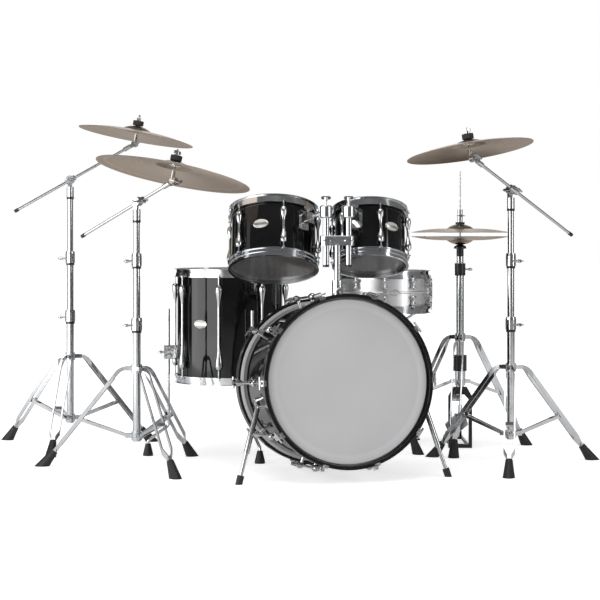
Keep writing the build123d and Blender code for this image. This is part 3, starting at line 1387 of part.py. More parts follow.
def cymbal_stands():
    """Tripods and tubes of the three stands as shared nodes, and each stand's moving pieces."""
    nodes = {"cymbal_stand_legs": [], "cymbal_stand_tubes": []}
    feet = []
    for stand in stands():
        here = Pos(stand.place[0], stand.place[1], 0)
        angles = evenly(3, stand.leg)
        legs, collars, rubbers = tripod(STAND_TUBE, STAND_COLLAR, STAND_BRACE, STAND_FOOT_RADIUS, angles)
        nodes["cymbal_stand_legs"].extend(here * piece for piece in legs)
        lower = pipe(STAND_TUBE, TUBE_WALL, STAND_TUBE_BOTTOM, LOWER_CLAMP)
        middle = pipe(middle_tube(), TUBE_WALL, LOWER_CLAMP - TUBE_LAP, UPPER_CLAMP)
        clamps = height_clamp(STAND_TUBE, middle_tube(), LOWER_CLAMP)
        clamps += height_clamp(middle_tube(), upper_tube(), UPPER_CLAMP)
        turned_clamps = [Rot(0, 0, stand.wing) * piece for piece in clamps]
        column = collars + [lower, middle] + turned_clamps
        nodes["cymbal_stand_tubes"].extend(here * piece for piece in column)
        feet.extend(here * piece for piece in rubbers)
        diameter, bell, bow = stand.cymbal
        nodes[f"{stand.name}_upper_tube"] = stand_upper_tube(stand)
        nodes[f"{stand.name}_boom"] = stand_boom(stand)
        nodes[f"{stand.name}_tilter"] = stand_tilter(stand)
        nodes[f"{stand.name}_cymbal"] = [stand.cymbal_plane * cymbal(diameter, bell, BELL_HEIGHT, bow)]
    return nodes, feet


def snare_stand():
    """Snare stand: tripod with its tube, and the basket with its tube and three hooked arms."""
    here = Pos(SNARE_X, SNARE_Y, 0)
    angles = evenly(3, SNARE_LEG_PHASE)
    legs, collars, rubbers = tripod(SNARE_TUBE, SNARE_COLLAR, SNARE_BRACE, SNARE_FOOT_RADIUS, angles)
    inner = SNARE_TUBE - TUBE_WALL - TUBE_FIT
    tube = pipe(SNARE_TUBE, TUBE_WALL, STAND_TUBE_BOTTOM - COLLAR_HEIGHT / 2, SNARE_TUBE_TOP)
    clamp = height_clamp(SNARE_TUBE, inner, SNARE_TUBE_TOP)
    base = [here * piece for piece in legs + collars + [tube] + clamp]
    hub_top = SNARE_SEAT - BASKET_HUB_DROP
    hub_bottom = hub_top - BASKET_HUB_HEIGHT
    post = pipe(inner, TUBE_WALL, SNARE_TUBE_TOP - TUBE_LAP, hub_bottom)
    hub = disc(BASKET_HUB, hub_bottom, hub_top)
    radius = shell_radius(SNARE_DIAMETER)
    lip = radius + HEAD_FIT + HEAD_FILM + HOOP_FIT + HOOP_STEEL + HOOP_LIP
    shelf = SNARE_SEAT - SEAT_GAP
    grip = lip + EAR_REACH + BASKET_ARM
    path = FilletPolyline(
        (BASKET_HUB / 2, 0, hub_top - BASKET_HUB_HEIGHT / 2),
        (grip - BASKET_HOOK * 2, 0, shelf - BASKET_ARM),
        (grip, 0, shelf - BASKET_ARM),
        (grip, 0, shelf + BASKET_HOOK),
        radius=BASKET_ARM * 2,
    )
    start = path @ 0
    section = Plane(origin=start, z_dir=path % 0) * Circle(BASKET_ARM)
    arm = sweep(section, path=path)
    rubber_pad = Pos(grip, 0, shelf + BASKET_GRIP) * disc(BASKET_ARM + RING_WALL, 0, BASKET_HOOK)
    rubber_pad = rubber_pad - arm
    arm_angles = evenly(3, BASKET_ARM_PHASE)
    spider = hub
    for copy in around(arm, arm_angles):
        spider += copy
    pads = around(rubber_pad, arm_angles)
    basket = [here * piece for piece in [post, spider] + pads]
    feet = [here * piece for piece in rubbers]
    return base, basket, feet


def footboard(length, rise):
    """Footboard that runs along -Y and upwards from its heel hinge over the origin."""
    outline = Polyline(
        (-BOARD_TOE / 2, 0),
        (-BOARD_TOE / 2, -HEEL_LENGTH / 3),
        (-BOARD_WIDTH / 2, -length * BOARD_WIDEST),
        (-BOARD_TOE / 2, -length * BOARD_TOE_START),
        (-BOARD_TOE / 2, -length),
        (BOARD_TOE / 2, -length),
        (BOARD_TOE / 2, -length * BOARD_TOE_START),
        (BOARD_WIDTH / 2, -length * BOARD_WIDEST),
        (BOARD_TOE / 2, -HEEL_LENGTH / 3),
        (BOARD_TOE / 2, 0),
        close=True,
    )
    plate = extrude(make_face(outline), BOARD_THICK)
    plate = fillet(plate.edges().group_by(Axis.Z)[-1], BOARD_THICK / 4)
    for index in range(BOARD_GROOVES):
        groove_y = -length * (BOARD_FIRST_GROOVE + BOARD_GROOVE_STEP * index)
        plate -= Pos(0, groove_y, BOARD_THICK) * Box(BOARD_TOE, BOARD_THICK, BOARD_THICK / 3)
    knuckle = round_bar((-BOARD_TOE / 2, 0, 0), (BOARD_TOE / 2, 0, 0), HEEL_PIN + BOARD_THICK / 2)
    board = plate + knuckle
    board -= round_bar((-BOARD_WIDTH, 0, 0), (BOARD_WIDTH, 0, 0), HEEL_PIN + TUBE_FIT)
    return Pos(0, 0, PEDAL_HEEL_Z) * Rot(-rise, 0, 0) * board


def heel_block(heel_y):
    """Heel plate with two cheeks and the hinge pin."""
    slab = Box(BOARD_HEEL, HEEL_LENGTH, PEDAL_RAIL, align=BASE)
    plate = Pos(0, heel_y + HEEL_LENGTH / 4, PEDAL_LIFT) * slab
    top = PEDAL_HEEL_Z + HEEL_PIN + BOARD_THICK / 2
    cheeks = []
    for side in (-1, 1):
        x = side * (BOARD_TOE / 2 + TURN_GAP + PEDAL_RAIL / 2)
        cheek = Pos(x, heel_y, PEDAL_LIFT) * Box(PEDAL_RAIL, 2 * PEDAL_RAIL, top - PEDAL_LIFT, align=BASE)
        cheeks.append(cheek)
    half = BOARD_TOE / 2 + TURN_GAP + PEDAL_RAIL
    pin = round_bar((-half, heel_y, PEDAL_HEEL_Z), (half, heel_y, PEDAL_HEEL_Z), HEEL_PIN)
    return plate, cheeks, pin


def hihat_board_toe():
    """Height at which the pull strap meets the footboard."""
    return PEDAL_HEEL_Z + PEDAL_LENGTH * tand(PEDAL_RISE)


def hihat_stand():
    """Hi-hat stand with its pedal, pull rod, clutch and pair of cymbals."""
    here = Pos(HIHAT_X, HIHAT_Y, 0)
    angles = evenly(3, HIHAT_LEG)
    legs, collars, rubbers = tripod(HIHAT_TUBE, HIHAT_COLLAR, HIHAT_BRACE, HIHAT_FOOT_RADIUS, angles)
    lower = pipe(HIHAT_TUBE, TUBE_WALL, PEDAL_FRAME_TOP, HIHAT_CLAMP)
    inner = HIHAT_TUBE - TUBE_WALL - TUBE_FIT
    housing_wall = HIHAT_HOUSING - HIHAT_TUBE - SEAT_GAP
    housing = pipe(HIHAT_HOUSING, housing_wall, HIHAT_HOUSING_BOTTOM, HIHAT_HOUSING_TOP)
    case_top = HIHAT_HOUSING_BOTTOM
    case_bottom = HIHAT_BRACE + COLLAR_HEIGHT / 2
    case = pipe(HIHAT_SPRING_CASE, HIHAT_SPRING_CASE - HIHAT_TUBE - SEAT_GAP, case_bottom, case_top)
    clamp_bottom = HIHAT_CLAMP - HIHAT_CLAMP_HEIGHT / 2
    clamp_top = HIHAT_CLAMP + HIHAT_CLAMP_HEIGHT / 2
    clamp_wall = HIHAT_TUBE + HIHAT_CLAMP_WALL
    clamp = turned(
        [
            (HIHAT_TUBE + SEAT_GAP, clamp_bottom),
            (clamp_wall, clamp_bottom),
            (clamp_wall, clamp_top),
            (inner + TUBE_FIT, clamp_top),
            (inner + TUBE_FIT, HIHAT_CLAMP + SEAT_GAP),
            (HIHAT_TUBE + SEAT_GAP, HIHAT_CLAMP + SEAT_GAP),
        ]
    )
    side = Pos(clamp_wall - TUBE_FIT, 0, HIHAT_CLAMP) * Rot(0, 90, 0) * Rot(0, 0, 90)
    screw = side * wing_screw(BALL_RADIUS + CLAMP_WALL) - clamp
    base = legs + collars + [lower, housing, case, clamp, screw]

    heel_y = PEDAL_LENGTH
    shoulder = PEDAL_FRAME_TOP - PEDAL_SHOULDER
    half = PEDAL_FRAME_WIDTH / 2
    outer = Polyline(
        (-half, PEDAL_LIFT),
        (-half, shoulder),
        (-HIHAT_HOUSING, PEDAL_FRAME_TOP),
        (HIHAT_HOUSING, PEDAL_FRAME_TOP),
        (half, shoulder),
        (half, PEDAL_LIFT),
        close=True,
    )
    opening_half = half - PEDAL_FRAME_POST
    opening = Polyline(
        (-opening_half, PEDAL_LIFT + PEDAL_SILL),
        (-opening_half, shoulder - PEDAL_SILL),
        (-HIHAT_TUBE, PEDAL_FRAME_TOP - PEDAL_SHOULDER + PEDAL_SILL / 2),
        (HIHAT_TUBE, PEDAL_FRAME_TOP - PEDAL_SHOULDER + PEDAL_SILL / 2),
        (opening_half, shoulder - PEDAL_SILL),
        (opening_half, PEDAL_LIFT + PEDAL_SILL),
        close=True,
    )
    face = make_face(outer) - make_face(opening)
    arch = extrude(Plane.XZ * face, PEDAL_FRAME_DEPTH / 2, both=True)
    arch -= disc(HIHAT_ROD + TURN_GAP * 4, 0, 2 * PEDAL_FRAME_TOP)
    plate, cheeks, pin = heel_block(heel_y)
    rails = []
    for side in (-1, 1):
        start_y = PEDAL_FRAME_DEPTH / 2 - PEDAL_RAIL
        length = heel_y - start_y
        x = side * (BOARD_HEEL / 2 - PEDAL_RAIL / 2)
        rail = Box(PEDAL_RAIL, length, PEDAL_RAIL, align=BASE)
        rails.append(Pos(x, start_y + length / 2, PEDAL_LIFT) * rail)
    frame = arch + rails + plate + cheeks + pin
    strap_z = hihat_board_toe()
    slot = Pos(0, 0, strap_z) * Box(STRAP_WIDTH + 4 * TURN_GAP, STRAP_SLOT, STRAP_REACH)
    board = footboard(PEDAL_LENGTH / cosd(PEDAL_RISE) + STRAP_SLOT, PEDAL_RISE)
    board = Pos(0, heel_y, 0) * board - slot

    rod_foot = strap_z + STRAP_REACH
    rod = disc(HIHAT_ROD, rod_foot, HIHAT_ROD_TOP)
    strap_low = strap_z - (STRAP_PIN + STRAP_GAP) / cosd(PEDAL_RISE)
    strap = Pos(0, 0, strap_low) * Box(STRAP_WIDTH, STRAP_THICK, rod_foot - strap_low + STRAP_PIN, align=BASE)
    cross = round_bar((-STRAP_WIDTH, 0, strap_low), (STRAP_WIDTH, 0, strap_low), STRAP_PIN)
    pull = rod + strap + cross
    seat_top = HIHAT_SEAT
    bell_rise = HIHAT_BELL_HEIGHT + HIHAT_BOW
    bottom_plane = Pos(0, 0, seat_top + SEAT_GAP) * Rot(180, 0, 0)
    disc_shape = cymbal(HIHAT_DIAMETER, HIHAT_BELL, HIHAT_BELL_HEIGHT, HIHAT_BOW)
    bottom_cymbal = bottom_plane * (Pos(0, 0, -CYMBAL_THICK) * disc_shape)
    lower_rim = seat_top + SEAT_GAP + CYMBAL_THICK + bell_rise
    top_seat = lower_rim + HIHAT_OPENING + bell_rise
    top_cymbal = Pos(0, 0, top_seat) * disc_shape
    felt_low = top_seat - SEAT_GAP
    felt_high = top_seat + CYMBAL_THICK + SEAT_GAP
    clutch_bottom = felt_high + CLUTCH_FELT_HEIGHT
    sleeve_wall = CYMBAL_SLEEVE - HIHAT_ROD - SEAT_GAP
    sleeve = pipe(CYMBAL_SLEEVE, sleeve_wall, felt_low - CLUTCH_FELT_HEIGHT, clutch_bottom)
    body_wall = CLUTCH_RADIUS - HIHAT_ROD - SEAT_GAP
    body = pipe(CLUTCH_RADIUS, body_wall, clutch_bottom, clutch_bottom + CLUTCH_HEIGHT)
    nut_wall = CLUTCH_FELT / 2
    nut_top = felt_low - CLUTCH_FELT_HEIGHT
    nut = pipe(CYMBAL_SLEEVE + nut_wall, nut_wall - SEAT_GAP, nut_top - CLUTCH_FELT_HEIGHT, nut_top)
    felt_wall = CLUTCH_FELT - CYMBAL_SLEEVE - SEAT_GAP
    low_wall = CLUTCH_LOW_FELT - CYMBAL_SLEEVE - SEAT_GAP
    low_felt = pipe(CLUTCH_LOW_FELT, low_wall, felt_low - CLUTCH_FELT_HEIGHT, felt_low - 2 * TURN_GAP)
    high_felt = pipe(CLUTCH_FELT, felt_wall, felt_high, clutch_bottom)
    wing = Pos(0, -CLUTCH_RADIUS, clutch_bottom + CLUTCH_HEIGHT / 2) * Rot(90, 0, 0) * wing_screw(BALL_RADIUS)
    neck_bottom = seat_top - HIHAT_SEAT_HEIGHT - HIHAT_NECK_LENGTH
    upper = pipe(inner, TUBE_WALL, HIHAT_CLAMP - TUBE_LAP, neck_bottom)
    cup = turned(
        [
            (2 * HIHAT_ROD, neck_bottom),
            (HIHAT_NECK, neck_bottom),
            (HIHAT_NECK, seat_top - HIHAT_SEAT_HEIGHT),
            (HIHAT_SEAT_RADIUS, seat_top - HIHAT_SEAT_HEIGHT),
            (HIHAT_SEAT_RADIUS, seat_top - HIHAT_SEAT_HEIGHT / 2),
            (CYMBAL_HOLE + CLAMP_WALL, seat_top),
            (2 * HIHAT_ROD, seat_top),
        ]
    )
    nodes = {
        "hihat_stand_base": base,
        "hihat_pedal_frame": [frame],
        "hihat_footboard": [board],
        "hihat_pull_rod": [pull, body, sleeve, nut, low_felt, high_felt, wing],
        "hihat_top_cymbal": [top_cymbal],
        "hihat_upper_tube": [upper, cup],
        "hihat_bottom_cymbal": [bottom_cymbal],
    }
    placed = {name: [here * piece for piece in group] for name, group in nodes.items()}
    return placed, [here * piece for piece in rubbers]


def kick_frame():
    """Kick pedal's frame on the floor: -Y towards the bass drum's batter head, +Y to the player."""
    rear = bass_frame().from_local_coords((0, 0, -bass_hoop_front()))
    return Plane(origin=(rear.X, rear.Y, 0), x_dir=(cosd(BASS_YAW), sind(BASS_YAW), 0), z_dir=(0, 0, 1))


def batter_setback(height):
    """Y of the batter head's surface in the kick pedal's frame at a height above the floor."""
    middle = bass_frame().from_local_coords((0, 0, -bass_hoop_front())).Z
    recess = bass_hoop_front() - BASS_DEPTH / 2 - HEAD_FILM
    return (height - middle) * tand(BASS_PITCH) - recess / cosd(BASS_PITCH)


def kick_strike():
    """Lean of the beater shaft towards the player when the beater meets the head."""
    setback = batter_setback(KICK_AXLE_Z + KICK_SHAFT_LENGTH) + KICK_BEATER_LENGTH / 2 + KICK_GAP
    return math.degrees(math.asin((setback - KICK_SETBACK) / KICK_SHAFT_LENGTH))


def kick_axle():
    """Middle of the beater's axle in the kick pedal's frame."""
    return Vector(0, KICK_SETBACK, KICK_AXLE_Z)


def kick_heel():
    """Middle of the footboard's heel hinge in the kick pedal's frame."""
    return Vector(0, KICK_SETBACK + KICK_LENGTH, PEDAL_HEEL_Z)


def kick_pedal_frame():
    """Posts, sill, rails, heel block and the jaws that grip the rear hoop."""
    axle = kick_axle()
    half = KICK_FRAME_WIDTH / 2
    posts = []
    for side in (-1, 1):
        x = side * (half - KICK_POST / 2)
        post = Pos(x, axle.Y, PEDAL_LIFT) * Box(KICK_POST, KICK_POST_DEPTH, axle.Z - PEDAL_LIFT, align=BASE)
        eye = round_bar((x - KICK_POST / 2, axle.Y, axle.Z), (x + KICK_POST / 2, axle.Y, axle.Z), KICK_POST)
        posts.extend([post, eye])
    bearing = round_bar((-half, axle.Y, axle.Z), (half, axle.Y, axle.Z), KICK_AXLE + TUBE_FIT)
    sill = Pos(0, axle.Y, PEDAL_LIFT) * Box(KICK_FRAME_WIDTH, KICK_POST_DEPTH, PEDAL_RAIL, align=BASE)
    head_y = batter_setback(BASS_REAR_LIFT)
    jaw_length = axle.Y - head_y
    jaw_y = axle.Y - jaw_length / 2
    lower_jaw = Pos(0, jaw_y, PEDAL_LIFT) * Box(KICK_CLAMP, jaw_length, KICK_JAW_HEIGHT, align=BASE)
    upper_length = jaw_length - KICK_JAW_HEIGHT / 2
    upper_y = axle.Y - upper_length / 2
    upper_block = Box(KICK_CLAMP / 2, upper_length, 3 * KICK_JAW_HEIGHT, align=BASE)
    upper_jaw = Pos(0, upper_y, PEDAL_LIFT) * upper_block
    ring = turned(
        [
            (bass_hoop_inner() - SEAT_GAP, -bass_hoop_front() - SEAT_GAP),
            (bass_hoop_outer() + SEAT_GAP, -bass_hoop_front() - SEAT_GAP),
            (bass_hoop_outer() + SEAT_GAP, 0),
            (bass_hoop_inner() - SEAT_GAP, 0),
        ]
    )
    plate, cheeks, pin = heel_block(kick_heel().Y)
    rails = []
    for side in (-1, 1):
        x = side * (BOARD_HEEL / 2 - PEDAL_RAIL / 2)
        rail = Box(PEDAL_RAIL, KICK_LENGTH, PEDAL_RAIL, align=BASE)
        rails.append(Pos(x, axle.Y + KICK_LENGTH / 2, PEDAL_LIFT) * rail)
    frame = sill + posts + rails + plate + cheeks + pin + lower_jaw + upper_jaw - bearing
    return kick_frame() * frame - bass_frame() * ring


def kick_footboard():
    """Footboard of the kick pedal with the strap that runs up to the cam."""
    heel = kick_heel()
    strap_y = KICK_SETBACK - KICK_CAM - STRAP_THICK / 2 - STRAP_GAP
    reach = heel.Y - strap_y
    board = Pos(0, heel.Y, 0) * footboard((reach + STRAP_WIDTH / 2) / cosd(KICK_RISE), KICK_RISE)
    foot = PEDAL_HEEL_Z + reach * tand(KICK_RISE) + BOARD_THICK / 2
    strap = Pos(0, strap_y, foot) * Box(STRAP_WIDTH, STRAP_THICK, KICK_AXLE_Z - foot, align=BASE)
    return kick_frame() * (board + strap)


def kick_beater():
    """Axle with its cam, beater shaft and felt beater, drawn back from the head."""
    axle = kick_axle()
    half = KICK_FRAME_WIDTH / 2 + KICK_AXLE
    shaft_lean = kick_strike() + KICK_SWING
    up = Vector(0, sind(shaft_lean), cosd(shaft_lean))
    face_lean = BASS_PITCH + KICK_SWING
    facing = Vector(0, -cosd(face_lean), sind(face_lean))
    rod = round_bar((-half, axle.Y, axle.Z), (half, axle.Y, axle.Z), KICK_AXLE)
    hub = KICK_CAM_WIDTH / 2
    cam = round_bar((-hub, axle.Y, axle.Z), (hub, axle.Y, axle.Z), KICK_CAM)
    tip = axle + up * KICK_SHAFT_LENGTH
    shaft = round_bar(axle, tip + up * KICK_BEATER, KICK_SHAFT)
    reach = facing * (KICK_BEATER_LENGTH / 2)
    head = round_bar(tip - reach, tip + reach, KICK_BEATER)
    place = kick_frame()
    return [place * (rod + cam + shaft), place * (head - shaft)]


def all_nodes():
    """Every node of the kit as lists of solids."""
    nodes = bass_drum()
    nodes["bass_drum_brackets"] = bass_brackets()
    nodes["left_spur"] = spur(-1)
    nodes["right_spur"] = spur(1)
    nodes.update(tom_group())
    floor_nodes, feet = floor_tom()
    nodes.update(floor_nodes)
    nodes.update(snare_drum())
    base, basket, snare_feet = snare_stand()
    nodes["snare_stand_base"] = base
    nodes["snare_basket"] = basket
    stand_nodes, stand_feet = cymbal_stands()
    nodes.update(stand_nodes)
    hihat_nodes, hihat_feet = hihat_stand()
    nodes.update(hihat_nodes)
    nodes["kick_pedal_frame"] = [kick_pedal_frame()]
    nodes["kick_footboard"] = [kick_footboard()]
    nodes["kick_beater"] = kick_beater()
    nodes["rubber_feet"] = feet + snare_feet + stand_feet + hihat_feet
    return nodes


def main():
    """Write one STEP file for each node."""
    os.makedirs("parts", exist_ok=True)
    for name, pieces in all_nodes().items():
        solids = [solid for piece in pieces for solid in piece.solids()]
        export_step(Compound(solids), f"parts/{name}.step")


if __name__ == "__main__":
    main()
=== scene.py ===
import json
import math
import bmesh
import bpy
import numpy
from mathutils import Euler, Matrix, Vector


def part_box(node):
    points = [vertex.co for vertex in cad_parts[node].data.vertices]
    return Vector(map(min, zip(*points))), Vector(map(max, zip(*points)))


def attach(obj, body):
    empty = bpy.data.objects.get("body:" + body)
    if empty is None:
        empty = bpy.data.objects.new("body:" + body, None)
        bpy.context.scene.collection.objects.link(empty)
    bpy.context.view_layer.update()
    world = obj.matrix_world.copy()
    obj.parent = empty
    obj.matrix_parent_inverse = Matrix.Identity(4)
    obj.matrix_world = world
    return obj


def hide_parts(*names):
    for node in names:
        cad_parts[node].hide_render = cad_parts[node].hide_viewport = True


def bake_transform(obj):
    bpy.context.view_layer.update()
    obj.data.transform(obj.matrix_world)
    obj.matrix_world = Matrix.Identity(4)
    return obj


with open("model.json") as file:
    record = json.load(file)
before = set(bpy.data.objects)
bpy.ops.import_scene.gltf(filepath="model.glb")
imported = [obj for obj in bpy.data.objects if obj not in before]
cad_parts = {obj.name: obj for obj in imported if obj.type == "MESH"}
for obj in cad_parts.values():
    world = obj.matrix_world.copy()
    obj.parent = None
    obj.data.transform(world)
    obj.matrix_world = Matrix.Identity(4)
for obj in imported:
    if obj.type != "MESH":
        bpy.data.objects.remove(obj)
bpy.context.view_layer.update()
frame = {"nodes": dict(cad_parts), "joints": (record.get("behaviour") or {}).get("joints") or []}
nodes = frame["nodes"]


# Bass drum shell. Cross-laid maple ply is bent round a form, sprayed black, flatted and buffed to a deep
# gloss. Inside, the wood is only sealed, so it stays a warm pale brown.
def new_finish(name):
    """A new material with its nodes, links and shader."""
    material = bpy.data.materials.new(name)
    material.use_nodes = True
    tree = material.node_tree
    return material, tree.nodes, tree.links, tree.nodes["Principled BSDF"]


def add_effect(tree, group, **values):
    """A shared effect placed in a material with its own values."""
    node = tree.new("ShaderNodeGroup")
    node.node_tree = group
    for socket, value in values.items():
        node.inputs[socket].default_value = value
    return node.outputs


def add_noise(tree, links, scale, detail):
    """Fine grain over a surface, fixed to the piece."""
    place = tree.new("ShaderNodeTexCoord")
    grain = tree.new("ShaderNodeTexNoise")
    grain.inputs["Scale"].default_value = scale
    grain.inputs["Detail"].default_value = detail
    links.new(place.outputs["Object"], grain.inputs["Vector"])
    return grain.outputs["Fac"]


def add_swirl(tree, links, middle, axis):
    """A vector round an axis at each point, as long as the point's distance from the axis."""
    place = tree.new("ShaderNodeTexCoord")
    reach = tree.new("ShaderNodeVectorMath")
    reach.operation = "SUBTRACT"
    reach.inputs[1].default_value = middle
    links.new(place.outputs["Object"], reach.inputs[0])
    around = tree.new("ShaderNodeVectorMath")
    around.operation = "CROSS_PRODUCT"
    around.inputs[1].default_value = axis
    links.new(reach.outputs["Vector"], around.inputs[0])
    return around.outputs["Vector"]


def set_tone(tree, links, shader, value, dark, light):
    """Base colour that runs from one tone to another with a value."""
    mix = tree.new("ShaderNodeMix")
    mix.data_type = "RGBA"
    mix.inputs["A"].default_value = (*dark, 1)
    mix.inputs["B"].default_value = (*light, 1)
    links.new(value, mix.inputs["Factor"])
    links.new(mix.outputs["Result"], shader.inputs["Base Color"])


def set_roughness(tree, links, shader, value, low, high):
    """Roughness spread between two limits by a value."""
    spread = tree.new("ShaderNodeMapRange")
    spread.inputs["To Min"].default_value = low
    spread.inputs["To Max"].default_value = high
    links.new(value, spread.inputs["Value"])
    links.new(spread.outputs["Result"], shader.inputs["Roughness"])


def set_relief(tree, links, shader, height, strength, depth):
    """Fine relief pressed or worn into a surface."""
    bump = tree.new("ShaderNodeBump")
    bump.inputs["Strength"].default_value = strength
    bump.inputs["Distance"].default_value = depth
    links.new(height, bump.inputs["Height"])
    links.new(bump.outputs["Normal"], shader.inputs["Normal"])


def new_piece(name, shape, *materials):
    """An object of the scene made from a finished shape."""
    mesh = bpy.data.meshes.new(name)
    shape.to_mesh(mesh)
    shape.free()
    for material in materials:
        mesh.materials.append(material)
    piece = bpy.data.objects.new(name, mesh)
    bpy.context.collection.objects.link(piece)
    return piece


def dress(names, material):
    """Gives whole nodes one finish."""
    for name in names:
        mesh = nodes[name].data
        mesh.materials.clear()
        mesh.materials.append(material)


def paint(name, material, belongs):
    """Gives the facets of a node that pass a test another finish."""
    mesh = nodes[name].data
    mesh.materials.append(material)
    index = len(mesh.materials) - 1
    for facet in mesh.polygons:
        if belongs(facet.center):
            facet.material_index = index


def off_axis(point, middle, axis):
    """Height of a point along an axis and its distance from it."""
    reach = point - middle
    height = reach.dot(axis)
    return height, (reach - axis * height).length


def middle_of(name):
    """Middle of a node's box."""
    low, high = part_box(name)
    return (Vector(low) + Vector(high)) / 2


def axis_of(name, towards):
    """Axis of a round piece, the way its facets spread least, towards the side that is asked for."""
    facets = nodes[name].data.polygons
    areas = numpy.array([facet.area for facet in facets])
    places = numpy.array([facet.center for facet in facets])
    places = places - numpy.average(places, axis=0, weights=areas)
    axis = Vector(numpy.linalg.eigh((places.T * areas) @ places)[1][:, 0])
    return axis if axis.dot(towards) > 0 else -axis


def radius_of(name, middle, axis):
    """How far a round piece reaches from its axis."""
    return max(off_axis(corner.co, middle, axis)[1] for corner in nodes[name].data.vertices)


handling = bpy.data.node_groups.new("handling_haze", "ShaderNodeTree")
handling.interface.new_socket("Scale", in_out="INPUT", socket_type="NodeSocketFloat")
handling.interface.new_socket("Haze", in_out="OUTPUT", socket_type="NodeSocketFloat")
handling.interface.new_socket("Ripple", in_out="OUTPUT", socket_type="NodeSocketFloat")
given = handling.nodes.new("NodeGroupInput")
result = handling.nodes.new("NodeGroupOutput")
place = handling.nodes.new("ShaderNodeTexCoord")
cloud = handling.nodes.new("ShaderNodeTexNoise")
cloud.inputs["Detail"].default_value = 5
handling.links.new(place.outputs["Object"], cloud.inputs["Vector"])
handling.links.new(given.outputs["Scale"], cloud.inputs["Scale"])
haze = handling.nodes.new("ShaderNodeMapRange")
haze.inputs["From Min"].default_value = 0.35
haze.inputs["From Max"].default_value = 0.72
handling.links.new(cloud.outputs["Fac"], haze.inputs["Value"])
handling.links.new(haze.outputs["Result"], result.inputs["Haze"])
finer = handling.nodes.new("ShaderNodeMath")
finer.operation = "MULTIPLY"
finer.inputs[1].default_value = 28
handling.links.new(given.outputs["Scale"], finer.inputs[0])
ripple = handling.nodes.new("ShaderNodeTexNoise")
ripple.inputs["Detail"].default_value = 2
ripple.inputs["Distortion"].default_value = 1.5
handling.links.new(place.outputs["Object"], ripple.inputs["Vector"])
handling.links.new(finer.outputs["Value"], ripple.inputs["Scale"])
handling.links.new(ripple.outputs["Fac"], result.inputs["Ripple"])

lacquer, tree, links, shader = new_finish("black_lacquer")
worn = add_effect(tree, handling, Scale=9.0)
set_tone(tree, links, shader, worn["Haze"], (0.004, 0.004, 0.0045), (0.009, 0.009, 0.0095))
set_roughness(tree, links, shader, worn["Haze"], 0.03, 0.09)
set_relief(tree, links, shader, worn["Ripple"], 0.01, 0.0003)
shader.inputs["Specular IOR Level"].default_value = 0.4

maple, tree, links, shader = new_finish("sealed_maple")
place = tree.new("ShaderNodeTexCoord")
grain = tree.new("ShaderNodeTexWave")
grain.inputs["Scale"].default_value = 14
grain.inputs["Distortion"].default_value = 5
grain.inputs["Detail"].default_value = 3
links.new(place.outputs["Object"], grain.inputs["Vector"])
set_tone(tree, links, shader, grain.outputs["Fac"], (0.42, 0.27, 0.15), (0.58, 0.41, 0.25))
set_roughness(tree, links, shader, grain.outputs["Fac"], 0.42, 0.55)

audience = Vector((0, -1, 0))
upright = Vector((0, 0, 1))
lacquered_ply = 0.0025
bass_middle = middle_of("bass_drum_shell")
bass_front = axis_of("bass_drum_shell", audience)
bass_inside = radius_of("bass_drum_shell", bass_middle, bass_front) - lacquered_ply
dress(["bass_drum_shell"], lacquer)
paint("bass_drum_shell", maple, lambda point: off_axis(point, bass_middle, bass_front)[1] < bass_inside)


# Bass drum hardware. Lugs, claws, tension rods and the tom holder's foot are zinc castings and steel,
# nickelled and chromed, bolted to the shell or hooked over the hoops. Buffing leaves castings a little wavy.
chrome, tree, links, shader = new_finish("chrome_plate")
worn = add_effect(tree, handling, Scale=22.0)
set_tone(tree, links, shader, worn["Haze"], (0.62, 0.63, 0.645), (0.54, 0.55, 0.565))
set_roughness(tree, links, shader, worn["Haze"], 0.10, 0.20)
shader.inputs["Metallic"].default_value = 1.0

cast_chrome, tree, links, shader = new_finish("cast_chrome")
worn = add_effect(tree, handling, Scale=30.0)
buffing = add_noise(tree, links, 70, 1)
set_tone(tree, links, shader, worn["Haze"], (0.68, 0.69, 0.70), (0.60, 0.61, 0.62))
set_roughness(tree, links, shader, worn["Haze"], 0.12, 0.24)
set_relief(tree, links, shader, buffing, 1.0, 0.0008)
shader.inputs["Metallic"].default_value = 1.0
dress(["bass_drum_lugs", "bass_drum_claws", "bass_drum_brackets"], cast_chrome)


# Bass drum hoops. Each is a bent maple ring in the same black gloss, rubbed a little duller where the
# claws and the pedal bite.
hoop_gloss, tree, links, shader = new_finish("hoop_lacquer")
worn = add_effect(tree, handling, Scale=16.0)
set_tone(tree, links, shader, worn["Haze"], (0.006, 0.006, 0.006), (0.013, 0.013, 0.013))
set_roughness(tree, links, shader, worn["Haze"], 0.08, 0.2)
shader.inputs["Specular IOR Level"].default_value = 0.4
dress(["bass_drum_hoops"], hoop_gloss)


# Bass drum heads. Polyester film is crimped into a flesh hoop. The front one is sprayed silver white and
# left bare, and the batter behind it has a rough white coat.
front_film, tree, links, shader = new_finish("silver_white_film")
speck = add_noise(tree, links, 900, 2)
mottle = add_effect(tree, handling, Scale=3.0)
rim_start, rim_end = 0.244, 0.254
radius_at = tree.new("ShaderNodeVectorMath")
radius_at.operation = "LENGTH"
links.new(add_swirl(tree, links, bass_middle, bass_front), radius_at.inputs[0])
rim = tree.new("ShaderNodeMapRange")
rim.interpolation_type = "SMOOTHSTEP"
rim.inputs["From Min"].default_value = rim_start
rim.inputs["From Max"].default_value = rim_end
rim.inputs["To Max"].default_value = 0.6
links.new(radius_at.outputs["Value"], rim.inputs["Value"])
shade = tree.new("ShaderNodeMath")
shade.operation = "MULTIPLY_ADD"
shade.inputs[1].default_value = 0.5
links.new(mottle["Haze"], shade.inputs[0])
links.new(rim.outputs["Result"], shade.inputs[2])
